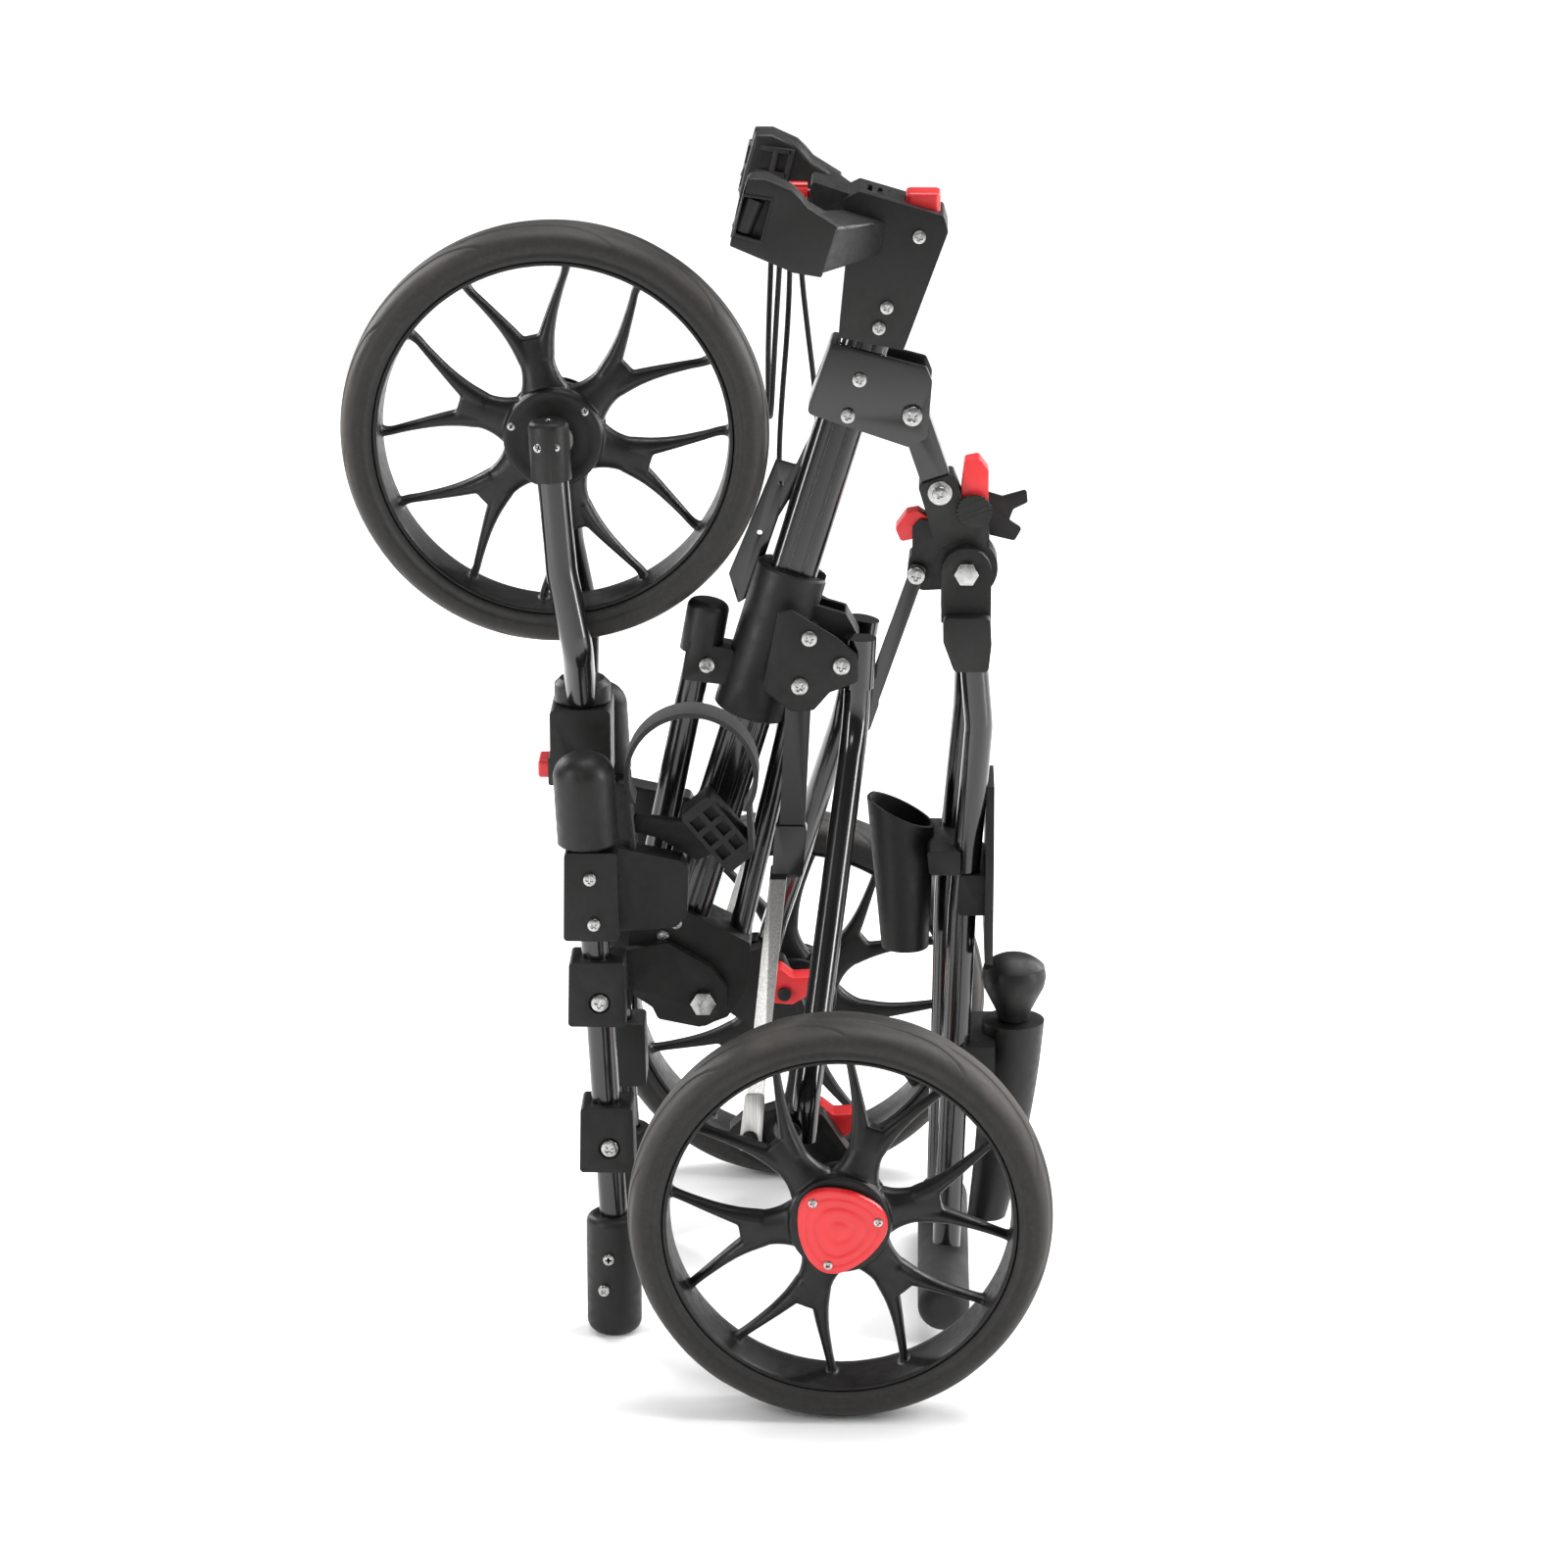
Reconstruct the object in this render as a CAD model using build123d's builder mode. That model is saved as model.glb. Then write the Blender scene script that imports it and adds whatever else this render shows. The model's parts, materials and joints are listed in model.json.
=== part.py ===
from build123d import *
import math
import os

os.makedirs("parts", exist_ok=True)

# ---------------------------------------------------------------- driving dimensions (mm, degrees)
# Frame: +Z up, the cart's mid plane is Y = 0, its left side is -Y, its rear (the user's side) is +X.
WHEEL_R = 146.0          # outside radius of the rear wheels
TYRE_IN = 122.0          # tyre seat radius on the rim
FRONT_EXTRA = 4.0        # the front wheel's radii are this much larger
TYRE_W = 50.0            # tyre width
RIM_IN = 118.5           # inside radius of the rim barrel
HUB_R = 33.0             # hub disc radius
HUB_HALF = 24.0          # half length of the hub barrel
AXLE_R = 6.0             # axle radius
BORE_CLR = 0.05          # radial clearance of every turning fit
BEARING_R = 14.0         # bearing outside radius
BEARING_W = 9.0

FRONT_WHEEL = (-100.0, 0.0, 642.0)
REAR_LEFT = (104.0, -222.0, 146.0)
REAR_RIGHT = (62.0, 222.0, 146.0)

BEAM_W = 34.0            # main beam, across
BEAM_D = 30.0            # main beam, side to side
BEAM_WALL = 2.0
BEAM_SLOPE = 0.303       # run over rise
BEAM_FOOT_Z = 250.0
BEAM_TOP_Z = 785.0


def beam_x(z):
    return -17.6 + BEAM_SLOPE * (z - 265.9)


LINK_PIVOT = (149.4, 659.8)      # handle link on the handle bracket (x, z)
HUB_PIVOT = (188.0, 548.4)       # handle angle joint
STRUT_PIVOT = (153.0, 544.8)     # strut on the angle hub
FOLD_PIVOT = (3.0, 232.0)        # front frame on the main beam
LEG_PIVOT = (101.3, 485.9)       # rear leg on the collar
BAR_PIVOT = (72.0, 470.9)        # rear link bar on the collar
LEG_VEC = (-32.0, -294.0)        # collar pivot to bracket pivot, left side at rest
RIGHT_EXTRA = 6.8                # the right leg rests this many degrees further in
STEM_X = -83.0                   # fork swivel axis

TUBE_Y = 85.0            # front frame tubes
TUBE_R = 10.0
FORK_Y = 40.0
FORK_R = 11.0
ARM_Y = 90.0             # cradle arms


# ---------------------------------------------------------------- helpers
def xz_plane(y):
    """A plane facing -Y, whose local x, y are the model's X, Z."""
    return Plane(origin=(0, y, 0), x_dir=(1, 0, 0), z_dir=(0, -1, 0))


def slab(points, y_back, y_front, holes=()):
    """A plate lying in XZ between two Y values, with round holes (x, z, r)."""
    with BuildPart() as p:
        with BuildSketch(xz_plane(y_back)):
            with BuildLine():
                Polyline(*points, close=True)
            make_face()
            for hx, hz, hr in holes:
                with Locations((hx, hz)):
                    Circle(hr, mode=Mode.SUBTRACT)
        extrude(amount=y_back - y_front)
    return p.part


def rounded_slab(points, y_back, y_front, radius, holes=()):
    """As slab, with rounded corners in the outline."""
    with BuildPart() as p:
        with BuildSketch(xz_plane(y_back)) as sk:
            with BuildLine():
                Polyline(*points, close=True)
            make_face()
            fillet(sk.vertices(), radius)
            for hx, hz, hr in holes:
                with Locations((hx, hz)):
                    Circle(hr, mode=Mode.SUBTRACT)
        extrude(amount=y_back - y_front)
    return p.part


def pin(x, z, r, y_back, y_front, bore=0.0):
    """A round bar along Y, with an optional bore."""
    with BuildPart() as p:
        with BuildSketch(xz_plane(y_back)):
            with Locations((x, z)):
                Circle(r)
                if bore:
                    Circle(bore, mode=Mode.SUBTRACT)
        extrude(amount=y_back - y_front)
    return p.part


def bar(p0, p1, r, bore=0.0):
    """A straight round tube from p0 to p1."""
    d = Vector(*p1) - Vector(*p0)
    with BuildPart() as p:
        with BuildSketch(Plane(origin=p0, z_dir=d)):
            Circle(r)
            if bore:
                Circle(bore, mode=Mode.SUBTRACT)
        extrude(amount=d.length)
    return p.part


def bent_tube(points, r, bore, radii):
    """A round tube along straight runs joined by tangent arcs."""
    with BuildPart() as p:
        with BuildLine() as ln:
            FilletPolyline(*points, radius=radii)
        start = ln.line @ 0
        with BuildSketch(Plane(origin=start, z_dir=ln.line % 0)):
            Circle(r)
            if bore:
                Circle(bore, mode=Mode.SUBTRACT)
        sweep(path=ln.line)
    return p.part


def fuse(*shapes):
    """One solid from several that overlap."""
    with BuildPart() as p:
        for s in shapes:
            add(s)
    return p.part


def cut(base, *tools):
    with BuildPart() as p:
        add(base)
        for t in tools:
            add(t, mode=Mode.SUBTRACT)
    return p.part


def mirror_y(shape):
    return shape.mirror(Plane.XZ)


def screw(x, z, y_face, out, head_r, head_h, shank_r, depth, cross=True):
    """A pan-head screw along Y whose head stands on y_face; out is -1 or +1."""
    head = pin(x, z, head_r, max(y_face, y_face + out * head_h), min(y_face, y_face + out * head_h))
    with BuildPart() as p:
        add(head)
        tip = y_face + out * head_h
        fillet(p.edges().filter_by(GeomType.CIRCLE).group_by(Axis.Y)[0 if out < 0 else -1], head_h * 0.45)
        if depth:
            add(pin(x, z, shank_r, max(y_face, y_face - out * depth), min(y_face, y_face - out * depth)))
        if cross:
            a, b = max(tip, tip - out * head_h * 0.5), min(tip, tip - out * head_h * 0.5)
            w, l = head_r * 0.16, head_r * 0.62
            add(slab([(x - w, z - l), (x + w, z - l), (x + w, z + l), (x - w, z + l)], a, b), mode=Mode.SUBTRACT)
            add(slab([(x - l, z - w), (x + l, z - w), (x + l, z + w), (x - l, z + w)], a, b), mode=Mode.SUBTRACT)
    return p.part


def hexnut(x, z, y_face, out, across, height):
    with BuildPart() as p:
        with BuildSketch(xz_plane(max(y_face, y_face + out * height))):
            with Locations((x, z)):
                RegularPolygon(across / 2, 6, major_radius=False)
        extrude(amount=height)
    return p.part


made = {}


def keep(name, shape):
    solids = shape.solids()
    result = solids[0] if len(solids) == 1 else Compound(children=list(solids))
    result.label = name
    made[name] = result
    export_step(result, f"parts/{name}.step")


def group(*shapes):
    out = []
    for s in shapes:
        out.extend(s.solids())
    return Compound(children=out)


# ---------------------------------------------------------------- wheels
def tyre(c, extra=0.0):
    """Crowned foam tyre on the rim seat, revolved about the axle."""
    seat, rad = TYRE_IN + extra, WHEEL_R + extra
    h = TYRE_W / 2
    with BuildPart() as p:
        with BuildSketch(Plane(origin=c, x_dir=(1, 0, 0), z_dir=(0, 0, 1))):
            # local x is the radius, local y is the axle direction
            with BuildLine():
                Polyline((seat, -h + 3), (seat + 2, -h), (rad - 12, -h), (rad - 5, -h + 5))
                Spline((rad - 5, -h + 5), (rad - 1, -h * 0.42), (rad, 0), (rad - 1, h * 0.42),
                       (rad - 5, h - 5))
                Polyline((rad - 5, h - 5), (rad - 12, h), (seat + 2, h), (seat, h - 3),
                         (seat, -h + 3))
            make_face()
        revolve(axis=Axis(c, (0, 1, 0)))
    return p.part


def wheel(c, first, face, bush=False, extra=0.0):
    """Rim barrel, hub and six forked spokes; face is the side of the hub disc, -1 or +1.
    With bush, the hub runs on the axle in its own moulded bush instead of on ball bearings."""
    x, y, z = c
    rim_in, seat = RIM_IN + extra, TYRE_IN + extra
    h = TYRE_W / 2 - 3
    with BuildPart() as p:
        with BuildSketch(Plane(origin=c, x_dir=(1, 0, 0), z_dir=(0, 0, 1))):
            with Locations(((rim_in + seat) / 2, 0)):
                Rectangle(seat - rim_in, 2 * h)
            with Locations((HUB_R / 2 + 7, face * (HUB_HALF - 4))):
                Rectangle(HUB_R - 14, 8)
            with Locations(((BEARING_R + 20) / 2, 0)):
                Rectangle(20 - BEARING_R, 2 * HUB_HALF)
            inner = AXLE_R + (BORE_CLR if bush else 1.5)
            half = HUB_HALF if bush else HUB_HALF - BEARING_W
            with Locations(((inner + BEARING_R) / 2, 0)):
                Rectangle(BEARING_R - inner, 2 * half)
        revolve(axis=Axis(c, (0, 1, 0)))
        # spokes: a stem to the fork point, then two prongs to the barrel
        stem0, fork_r, end_r = 17.0, 64.0, rim_in + 1.5
        for i in range(6):
            a = math.radians(first + 60 * i)

            def pt(r, off, ang=a):
                return (x + r * math.cos(ang) - off * math.sin(ang), z + r * math.sin(ang) + off * math.cos(ang))

            s = math.radians(17.0)
            e1 = (x + end_r * math.cos(a + s), z + end_r * math.sin(a + s))
            e2 = (x + end_r * math.cos(a - s), z + end_r * math.sin(a - s))
            t1 = (-math.sin(a + s), math.cos(a + s))
            t2 = (-math.sin(a - s), math.cos(a - s))
            outline = [pt(stem0, -11), pt(38, -10), pt(fork_r, -11),
                       (e2[0] - 4 * t2[0], e2[1] - 4 * t2[1]), (e2[0] + 4 * t2[0], e2[1] + 4 * t2[1]),
                       pt(fork_r + 9, 0),
                       (e1[0] - 4 * t1[0], e1[1] - 4 * t1[1]), (e1[0] + 4 * t1[0], e1[1] + 4 * t1[1]),
                       pt(fork_r, 11), pt(38, 10), pt(stem0, 11)]
            with BuildSketch(xz_plane(y + 8)):
                with BuildLine():
                    Polyline(*outline, close=True)
                make_face()
            extrude(amount=16)
        # the barrel's outside stays round
        with BuildSketch(Plane(origin=c, x_dir=(1, 0, 0), z_dir=(0, 0, 1))):
            with Locations((seat + 10, 0)):
                Rectangle(20, 60)
        revolve(axis=Axis(c, (0, 1, 0)), mode=Mode.SUBTRACT)
    return p.part


def bearings(c):
    x, y, z = c
    out = []
    for s in (-1, 1):
        yb = y + s * (HUB_HALF - BEARING_W / 2)
        out.append(pin(x, z, BEARING_R, yb + BEARING_W / 2, yb - BEARING_W / 2, AXLE_R + BORE_CLR))
    return group(*out)


keep("front_tyre", tyre(FRONT_WHEEL, FRONT_EXTRA))
keep("front_wheel", wheel(FRONT_WHEEL, 103, -1, extra=FRONT_EXTRA))
keep("front_bearings", bearings(FRONT_WHEEL))


def hub_cap(c, out, first):
    """Rounded three-cornered cover on the hub's outer face, with a pressed ring."""
    x, y, z = c
    y0 = y + out * HUB_HALF
    with BuildPart() as p:
        with BuildSketch(xz_plane(max(y0, y0 + out * 4.5))) as sk:
            with Locations((x, z)):
                RegularPolygon(46, 3, rotation=first)
            fillet(sk.vertices(), 17)
        extrude(amount=4.5)
        outer = p.faces().sort_by(Axis.Y)[0 if out < 0 else -1]
        chamfer(outer.edges(), 1.4)
        with BuildSketch(xz_plane(max(y0 + out * 4.5, y0 + out * 3.6))):
            with Locations((x, z)):
                Circle(17)
                Circle(15.5, mode=Mode.SUBTRACT)
        extrude(amount=0.9, mode=Mode.SUBTRACT)
    return p.part


for side, c, first in (("left", REAR_LEFT, 10), ("right", REAR_RIGHT, 40)):
    out = -1 if side == "left" else 1
    keep(f"rear_tyre_{side}", tyre(c))
    keep(f"rear_wheel_{side}", wheel(c, first, out, bush=True))
    keep(f"hub_cap_{side}", hub_cap(c, out, 11))

# ---------------------------------------------------------------- main frame
beam_dir = Vector(BEAM_SLOPE, 0, 1).normalized()


def beam_plane(z):
    return Plane(origin=(beam_x(z), 0, z), x_dir=(beam_dir.Z, 0, -beam_dir.X), z_dir=beam_dir)


def beam_length(z0, z1):
    return (z1 - z0) / beam_dir.Z


with BuildPart() as beam_core:          # the beam's outside, as a plug for cutting sockets
    with BuildSketch(beam_plane(BEAM_FOOT_Z)):
        RectangleRounded(BEAM_W, BEAM_D, 9)
    extrude(amount=beam_length(BEAM_FOOT_Z, BEAM_TOP_Z))

with BuildPart() as beam:
    with BuildSketch(beam_plane(BEAM_FOOT_Z)):
        RectangleRounded(BEAM_W, BEAM_D, 9)
        RectangleRounded(BEAM_W - 2 * BEAM_WALL, BEAM_D - 2 * BEAM_WALL, 7, mode=Mode.SUBTRACT)
        with Locations((-5.5, BEAM_D / 2), (5.5, BEAM_D / 2), (-5.5, -BEAM_D / 2), (5.5, -BEAM_D / 2)):
            Rectangle(2.2, 1.4, mode=Mode.SUBTRACT)
    extrude(amount=beam_length(BEAM_FOOT_Z, BEAM_TOP_Z))
keep("main_beam", beam.part)

# head bracket on the beam's top, with the release button's pocket and the knob's boss
head = rounded_slab([(98, 716), (143, 707), (173, 790), (170, 801), (112, 818), (100, 812), (104, 780)],
                    24, -24, 3)
head_boss = rounded_slab([(76.5, 800), (106, 792), (106, 815), (79, 824)], 19, -19, 3)
button_pocket = slab([(143.4, 787), (168.0, 787), (168.0, 840), (143.4, 840)], 12.4, -12.4)
knob_bore = bar((70, 0, 812), (94, 0, 812), 3 + BORE_CLR)
head_all = cut(fuse(head, head_boss), beam_core.part, button_pocket, knob_bore)
with BuildPart() as head_slots:
    with BuildSketch(Plane.XY.offset(840)):
        with GridLocations(7, 0, 3, 1):
            with Locations((126, 0)):
                RectangleRounded(3.4, 20, 1.5)
    extrude(amount=-28.5)
head_all = cut(head_all, head_slots.part)
keep("head_bracket", head_all)

with BuildPart() as button:
    with BuildSketch(Plane(origin=(155.7, 0, 791.5))):
        RectangleRounded(23.8, 24.0, 4)
    extrude(amount=23)
    fillet(button.faces().sort_by(Axis.Z)[-1].edges(), 2.5)
keep("head_button", button.part)

with BuildPart() as knob:
    with BuildSketch(Plane(origin=(76.2, 0, 812), z_dir=(-1, 0, 0))):
        Circle(8)
        with PolarLocations(8, 8):
            Circle(1.6, mode=Mode.SUBTRACT)
    extrude(amount=13)
    fillet(knob.faces().sort_by(Axis.X)[0].edges(), 1.0)
    with BuildSketch(Plane(origin=(76.2, 0, 812), z_dir=(1, 0, 0))):
        Circle(3)
    extrude(amount=15)
keep("cradle_knob", knob.part)

# upper cradle arms, and the rubber pads on their ends
arm = rounded_slab([(37, 841), (70, 831), (97, 807), (87, 773), (26, 793)], -66, -95, 5)
arm_box = rounded_slab([(84, 775), (124, 762), (136, 798), (97, 806)], -24, -70, 4)
arm_left = fuse(arm, arm_box)
arm_window = rounded_slab([(36, 826), (50, 822), (46, 800), (33, 804)], -60, -100, 2)
arm_left = cut(arm_left, arm_window)
keep("cradle_arms", group(arm_left, mirror_y(arm_left)))

pad_plane = Plane(origin=(31.2, -80.5, 817), x_dir=(0, 1, 0), z_dir=(-0.97, 0, 0.243))
with BuildPart() as pad:
    with BuildSketch(pad_plane):
        RectangleRounded(44, 46, 6)
        with GridLocations(13, 13.5, 3, 3):
            RectangleRounded(9, 9.5, 1.5, mode=Mode.SUBTRACT)
    extrude(amount=7)
keep("arm_pads", group(pad.part, mirror_y(pad.part)))

# handle bracket: a channel on the beam whose open side holds the handle link
half_run = BEAM_W / 2 / beam_dir.Z
channel = rounded_slab([(93, 711), (159, 694), (163, 684), (160, 644), (147, 637), (76, 661)], 19, -19, 4,
                       holes=[(LINK_PIVOT[0], LINK_PIVOT[1], 5)])
inside = slab([(beam_x(600) - half_run, 600), (beam_x(750) - half_run, 750), (270, 750), (270, 600)], 15, -15)
# a thin guard strip hangs from the channel's right cheek along the front of the beam
strip = rounded_slab([(54, 619.5), (68, 615.5), (92, 668), (112, 662), (84, 625), (56, 578), (42.5, 538), (37, 521),
                      (27, 514), (20.5, 536)], 17.6, 15.4, 1.2, holes=[(57.5, 602, 1.8), (42.5, 566, 1.8)])
keep("handle_bracket", fuse(cut(channel, inside, beam_core.part), strip))

# collar on the beam, with its boss for the leg pin and a small pocket
with BuildPart() as ring:
    with BuildSketch(beam_plane(440)):
        Circle(26)
    extrude(amount=beam_length(440, 545))
    chamfer(ring.edges().filter_by(GeomType.CIRCLE), 1.5)
boss = rounded_slab([(60, 455), (112, 474), (113, 498), (104, 515), (60, 528)], 14, -14, 3)
spacers = pin(78.7, 505.7, 6, 40, -40)
pocket = slab([(80, 497), (103, 497), (103, 540), (80, 540)], 9, -9)
collar = cut(fuse(ring.part, boss, spacers), beam_core.part, pocket)
keep("leg_collar", collar)

plate = rounded_slab([(57, 524), (66, 526), (98, 506), (112, 494), (113, 474), (93, 466), (82, 453), (66, 452),
                      (46, 468)], -40, -43, 4)
keep("collar_plates", group(plate, mirror_y(plate)))

# stay tubes beside the beam: a capped one in front and a plain one behind
stay_front = bar((3.6, 0, 498), (-39.5, 0, 291), 10, 8.4)
stay_cap = bar((7.6, 0, 521), (1.0, 0, 484), 15)
knuckle = rounded_slab([(-12, 466), (20.5, 462), (25.5, 488), (-8, 494)], 13, -13, 3)
stay_plug = fuse(stay_cap, knuckle)
with BuildPart() as stay_head:
    add(stay_plug)
    fillet(stay_head.edges().filter_by(GeomType.CIRCLE).group_by(Axis.Z)[-1], 6)
stay_socket = bar((3.6, 0, 498), (-39.5, 0, 291), 10)
stay_knuckle = cut(stay_head.part, stay_socket, ring.part)
stay_rear = bar((69.5, 0, 456), (25.5, 0, 262), 8, 6.6)
keep("stay_tubes", group(stay_front, stay_rear))
keep("stay_knuckle", stay_knuckle)

# pivot block at the beam's foot
block = rounded_slab([(-52, 262), (-48, 303), (-22, 303), (6, 288), (37, 272), (34, 238), (20, 216), (0, 208),
                      (-30, 214)], 22, -22, 4, holes=[(FOLD_PIVOT[0], FOLD_PIVOT[1], 6)])
stay_rear_core = bar((69.5, 0, 456), (25.5, 0, 262), 8)
keep("pivot_block", cut(block, beam_core.part, stay_socket, stay_rear_core))

# pins that carry the front frame and the rear legs
fold_bolt = fuse(pin(*FOLD_PIVOT, 6, 34.4, -34.4), pin(*FOLD_PIVOT, 9.5, 25.6, 22), pin(*FOLD_PIVOT, 9.5, -22, -25.6),
                 hexnut(*FOLD_PIVOT, -34.4, -1, 16, 6), hexnut(*FOLD_PIVOT, 34.4, 1, 16, 6))
leg_pin = fuse(pin(*LEG_PIVOT, 4, 43, -43), screw(*LEG_PIVOT, -43, -1, 6, 2.6, 4, 0),
               screw(*LEG_PIVOT, 43, 1, 6, 2.6, 4, 0))
bar_pin = fuse(pin(*BAR_PIVOT, 4, 43, -43), screw(*BAR_PIVOT, -43, -1, 6, 2.6, 4, 0),
               screw(*BAR_PIVOT, 43, 1, 6, 2.6, 4, 0))
link_pin = fuse(pin(*LINK_PIVOT, 5, 19, -19), screw(*LINK_PIVOT, -19, -1, 7, 3, 5, 0),
                screw(*LINK_PIVOT, 19, 1, 7, 3, 5, 0))

bolts = []
for sx, sz, yf, r in ((112.7, 685.2, 19, 5), (104.7, 659.5, 19, 5), (78.7, 505.7, 43, 5.5),
                      (153.2, 786.8, 24, 4.6), (131.3, 737.4, 24, 4.6), (126.0, 722.9, 24, 4.6),
                      (-16.4, 287.4, 22, 4.2), (-26.0, 277.8, 22, 4.2), (6.0, 477.2, 13, 5.5)):
    for out in (-1, 1):
        bolts.append(screw(sx, sz, out * yf, out, r, 2.4, r * 0.5, 3))
keep("frame_bolts", group(fold_bolt, leg_pin, bar_pin, link_pin, *bolts))

# ---------------------------------------------------------------- front frame


def tube_x(z):
    """The front tubes lean a little; x on their axis at height z."""
    return -77.0 + 0.054 * (410.0 - z)


tube_pts = ((tube_x(416), -TUBE_Y, 416), (tube_x(52), -TUBE_Y, 52))
tube_left = bar(*tube_pts, TUBE_R, 8.4)
tube_core = bar(*tube_pts, TUBE_R)
cross_core = pin(tube_x(394), 394, 9, 74, -74)
cross_bar = pin(tube_x(394), 394, 9, 76, -76, 7.4)
tube_pair = group(tube_left, mirror_y(tube_left))
keep("front_tubes", group(tube_left, mirror_y(tube_left), cut(cross_bar, tube_core, mirror_y(tube_core))))

with BuildPart() as cap:
    with BuildSketch(Plane(origin=(tube_x(368), -TUBE_Y, 368), z_dir=(tube_x(436) - tube_x(368), 0, 68))):
        Circle(21.5)
    extrude(amount=66)
    fillet(cap.faces().sort_by(Axis.Z)[-1].edges(), 17)
    chamfer(cap.faces().sort_by(Axis.Z)[0].edges(), 1.5)
cap_one = cut(cap.part, tube_core, pin(tube_x(394), 394, 9, 0, -76))
keep("tube_end_caps", group(cap_one, mirror_y(cap_one)))

# swivel housing on the cross tube, bored for the fork stem and pocketed for the lock button
housing = rounded_slab([(-105, 404), (-105, 446), (-62, 446), (-62, 392), (-70, 378), (-84, 378), (-98, 388)],
                       24, -24, 4)
stem_bore = bar((STEM_X, 0, 410), (STEM_X, 0, 450), 8 + BORE_CLR)
button_hole = rounded_slab([(-120, 405.4), (-96, 405.4), (-96, 391.6), (-120, 391.6)], 13.4, -13.4, 1)
keep("swivel_housing", cut(fuse(housing, rounded_slab([(-107, 388), (-107, 409), (-90, 409), (-90, 388)], 17, -17, 2)),
                           stem_bore, button_hole, pin(tube_x(394), 394, 9, 60, -60)))
with BuildPart() as swivel_button:
    with BuildSketch(Plane(origin=(-99.5, 0, 398.5), x_dir=(0, 1, 0), z_dir=(-1, 0, 0))):
        RectangleRounded(26, 13, 3)
    extrude(amount=15)
    fillet(swivel_button.faces().sort_by(Axis.X)[0].edges(), 2)
keep("swivel_button", swivel_button.part)

# moulded clamps on the tubes
clamp_parts = []
for z0, z1, half in ((237, 285, 20.5), (127, 176, 19.5)):
    xm = tube_x((z0 + z1) / 2)
    c = rounded_slab([(xm - half, z0), (xm + half, z0), (xm + half - 1, z1), (xm - half + 1, z1)],
                     -TUBE_Y + 17, -TUBE_Y - 17, 3)
    c = cut(c, tube_core, pin(xm + 2, (z0 + z1) / 2 - 6, 7.5, -TUBE_Y - 14.5, -TUBE_Y - 20))
    clamp_parts += [c, mirror_y(c)]
keep("frame_clamps", group(*clamp_parts))

with BuildPart() as foot:
    with BuildSketch(Plane(origin=(tube_x(88), -TUBE_Y, 0))):
        Circle(19.5)
    extrude(amount=90)
    fillet(foot.faces().sort_by(Axis.Z)[0].edges(), 9)
    fillet(foot.faces().sort_by(Axis.Z)[-1].edges(), 6)
foot_one = cut(foot.part, tube_core)
keep("front_feet", group(foot_one, mirror_y(foot_one)))

# lower cradle arms, clamped on the tubes
lc = fuse(rounded_slab([(-92, 300), (-91, 365), (-54, 365), (-53, 300)], -TUBE_Y + 15, -TUBE_Y - 14.5, 3),
          rounded_slab([(-66, 366), (-10, 354), (-5, 344), (-6, 314), (-14, 305), (-60, 301)], -62, -82, 4))
lc = cut(lc, tube_core)
keep("lower_cradle", group(lc, mirror_y(lc)))

# plates that swing the front frame about the pivot block
pivot_plate = rounded_slab([(-66, 268), (-22, 276), (8, 258), (20, 242), (19, 221), (4, 213), (-20, 218),
                            (-46, 236), (-66, 238)], -26, -34, 5,
                           holes=[(FOLD_PIVOT[0], FOLD_PIVOT[1], 6 + BORE_CLR)])
pivot_bridge = rounded_slab([(-66, 267), (-50, 269), (-46, 240), (-66, 240)], -28, -74, 3)
pa = cut(fuse(pivot_plate, pivot_bridge), group(*[c for c in clamp_parts[:1]]), tube_core)
keep("pivot_arms", group(pa, mirror_y(pa)))

fb = []
for sx, sz, yf, r, hexed in ((tube_x(261) + 2, 255, 99.5, 6.2, True), (tube_x(151.5) + 2, 145.5, 99.5, 6.2, True),
                             (-73.1, 346.4, 99.5, 4.6, False), (-70.5, 313.0, 99.5, 4.6, False),
                             (-62.5, 62.0, 104.2, 4.0, False), (-66.0, 38.0, 104.2, 4.0, False)):
    for out in (-1, 1):
        fb.append(screw(sx, sz, out * yf, out, r, 3.0, r * 0.5, 4, cross=not hexed))
keep("front_bolts", group(*fb))

# elastic strap loop on the left lower cradle arm and its rubber buckle
STRAP_C = (-3.0, 414.0)
with BuildPart() as strap:
    with BuildSketch(xz_plane(-50)):
        with Locations(STRAP_C):
            Circle(47)
            Circle(43.5, mode=Mode.SUBTRACT)
        with BuildLine():
            Polyline((STRAP_C[0] - 60, 396), (STRAP_C[0] + 60, 388), (STRAP_C[0] + 60, 340),
                     (STRAP_C[0] - 60, 340), close=True)
        make_face(mode=Mode.SUBTRACT)
        with BuildLine():
            Polyline((-50.2, 400), (-46.4, 400), (-41.6, 357), (-45.4, 357), close=True)
        make_face()
        with BuildLine():
            Polyline((35.2, 394), (38.9, 394), (41.0, 360), (37.2, 360), close=True)
        make_face()
    extrude(amount=28)
keep("lower_strap", strap.part)
s45 = math.radians(-50)
bc = (16.0, 372.0)


def rot(px, pz, ang=s45, c=bc):
    return (c[0] + px * math.cos(ang) - pz * math.sin(ang), c[1] + px * math.sin(ang) + pz * math.cos(ang))


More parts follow.
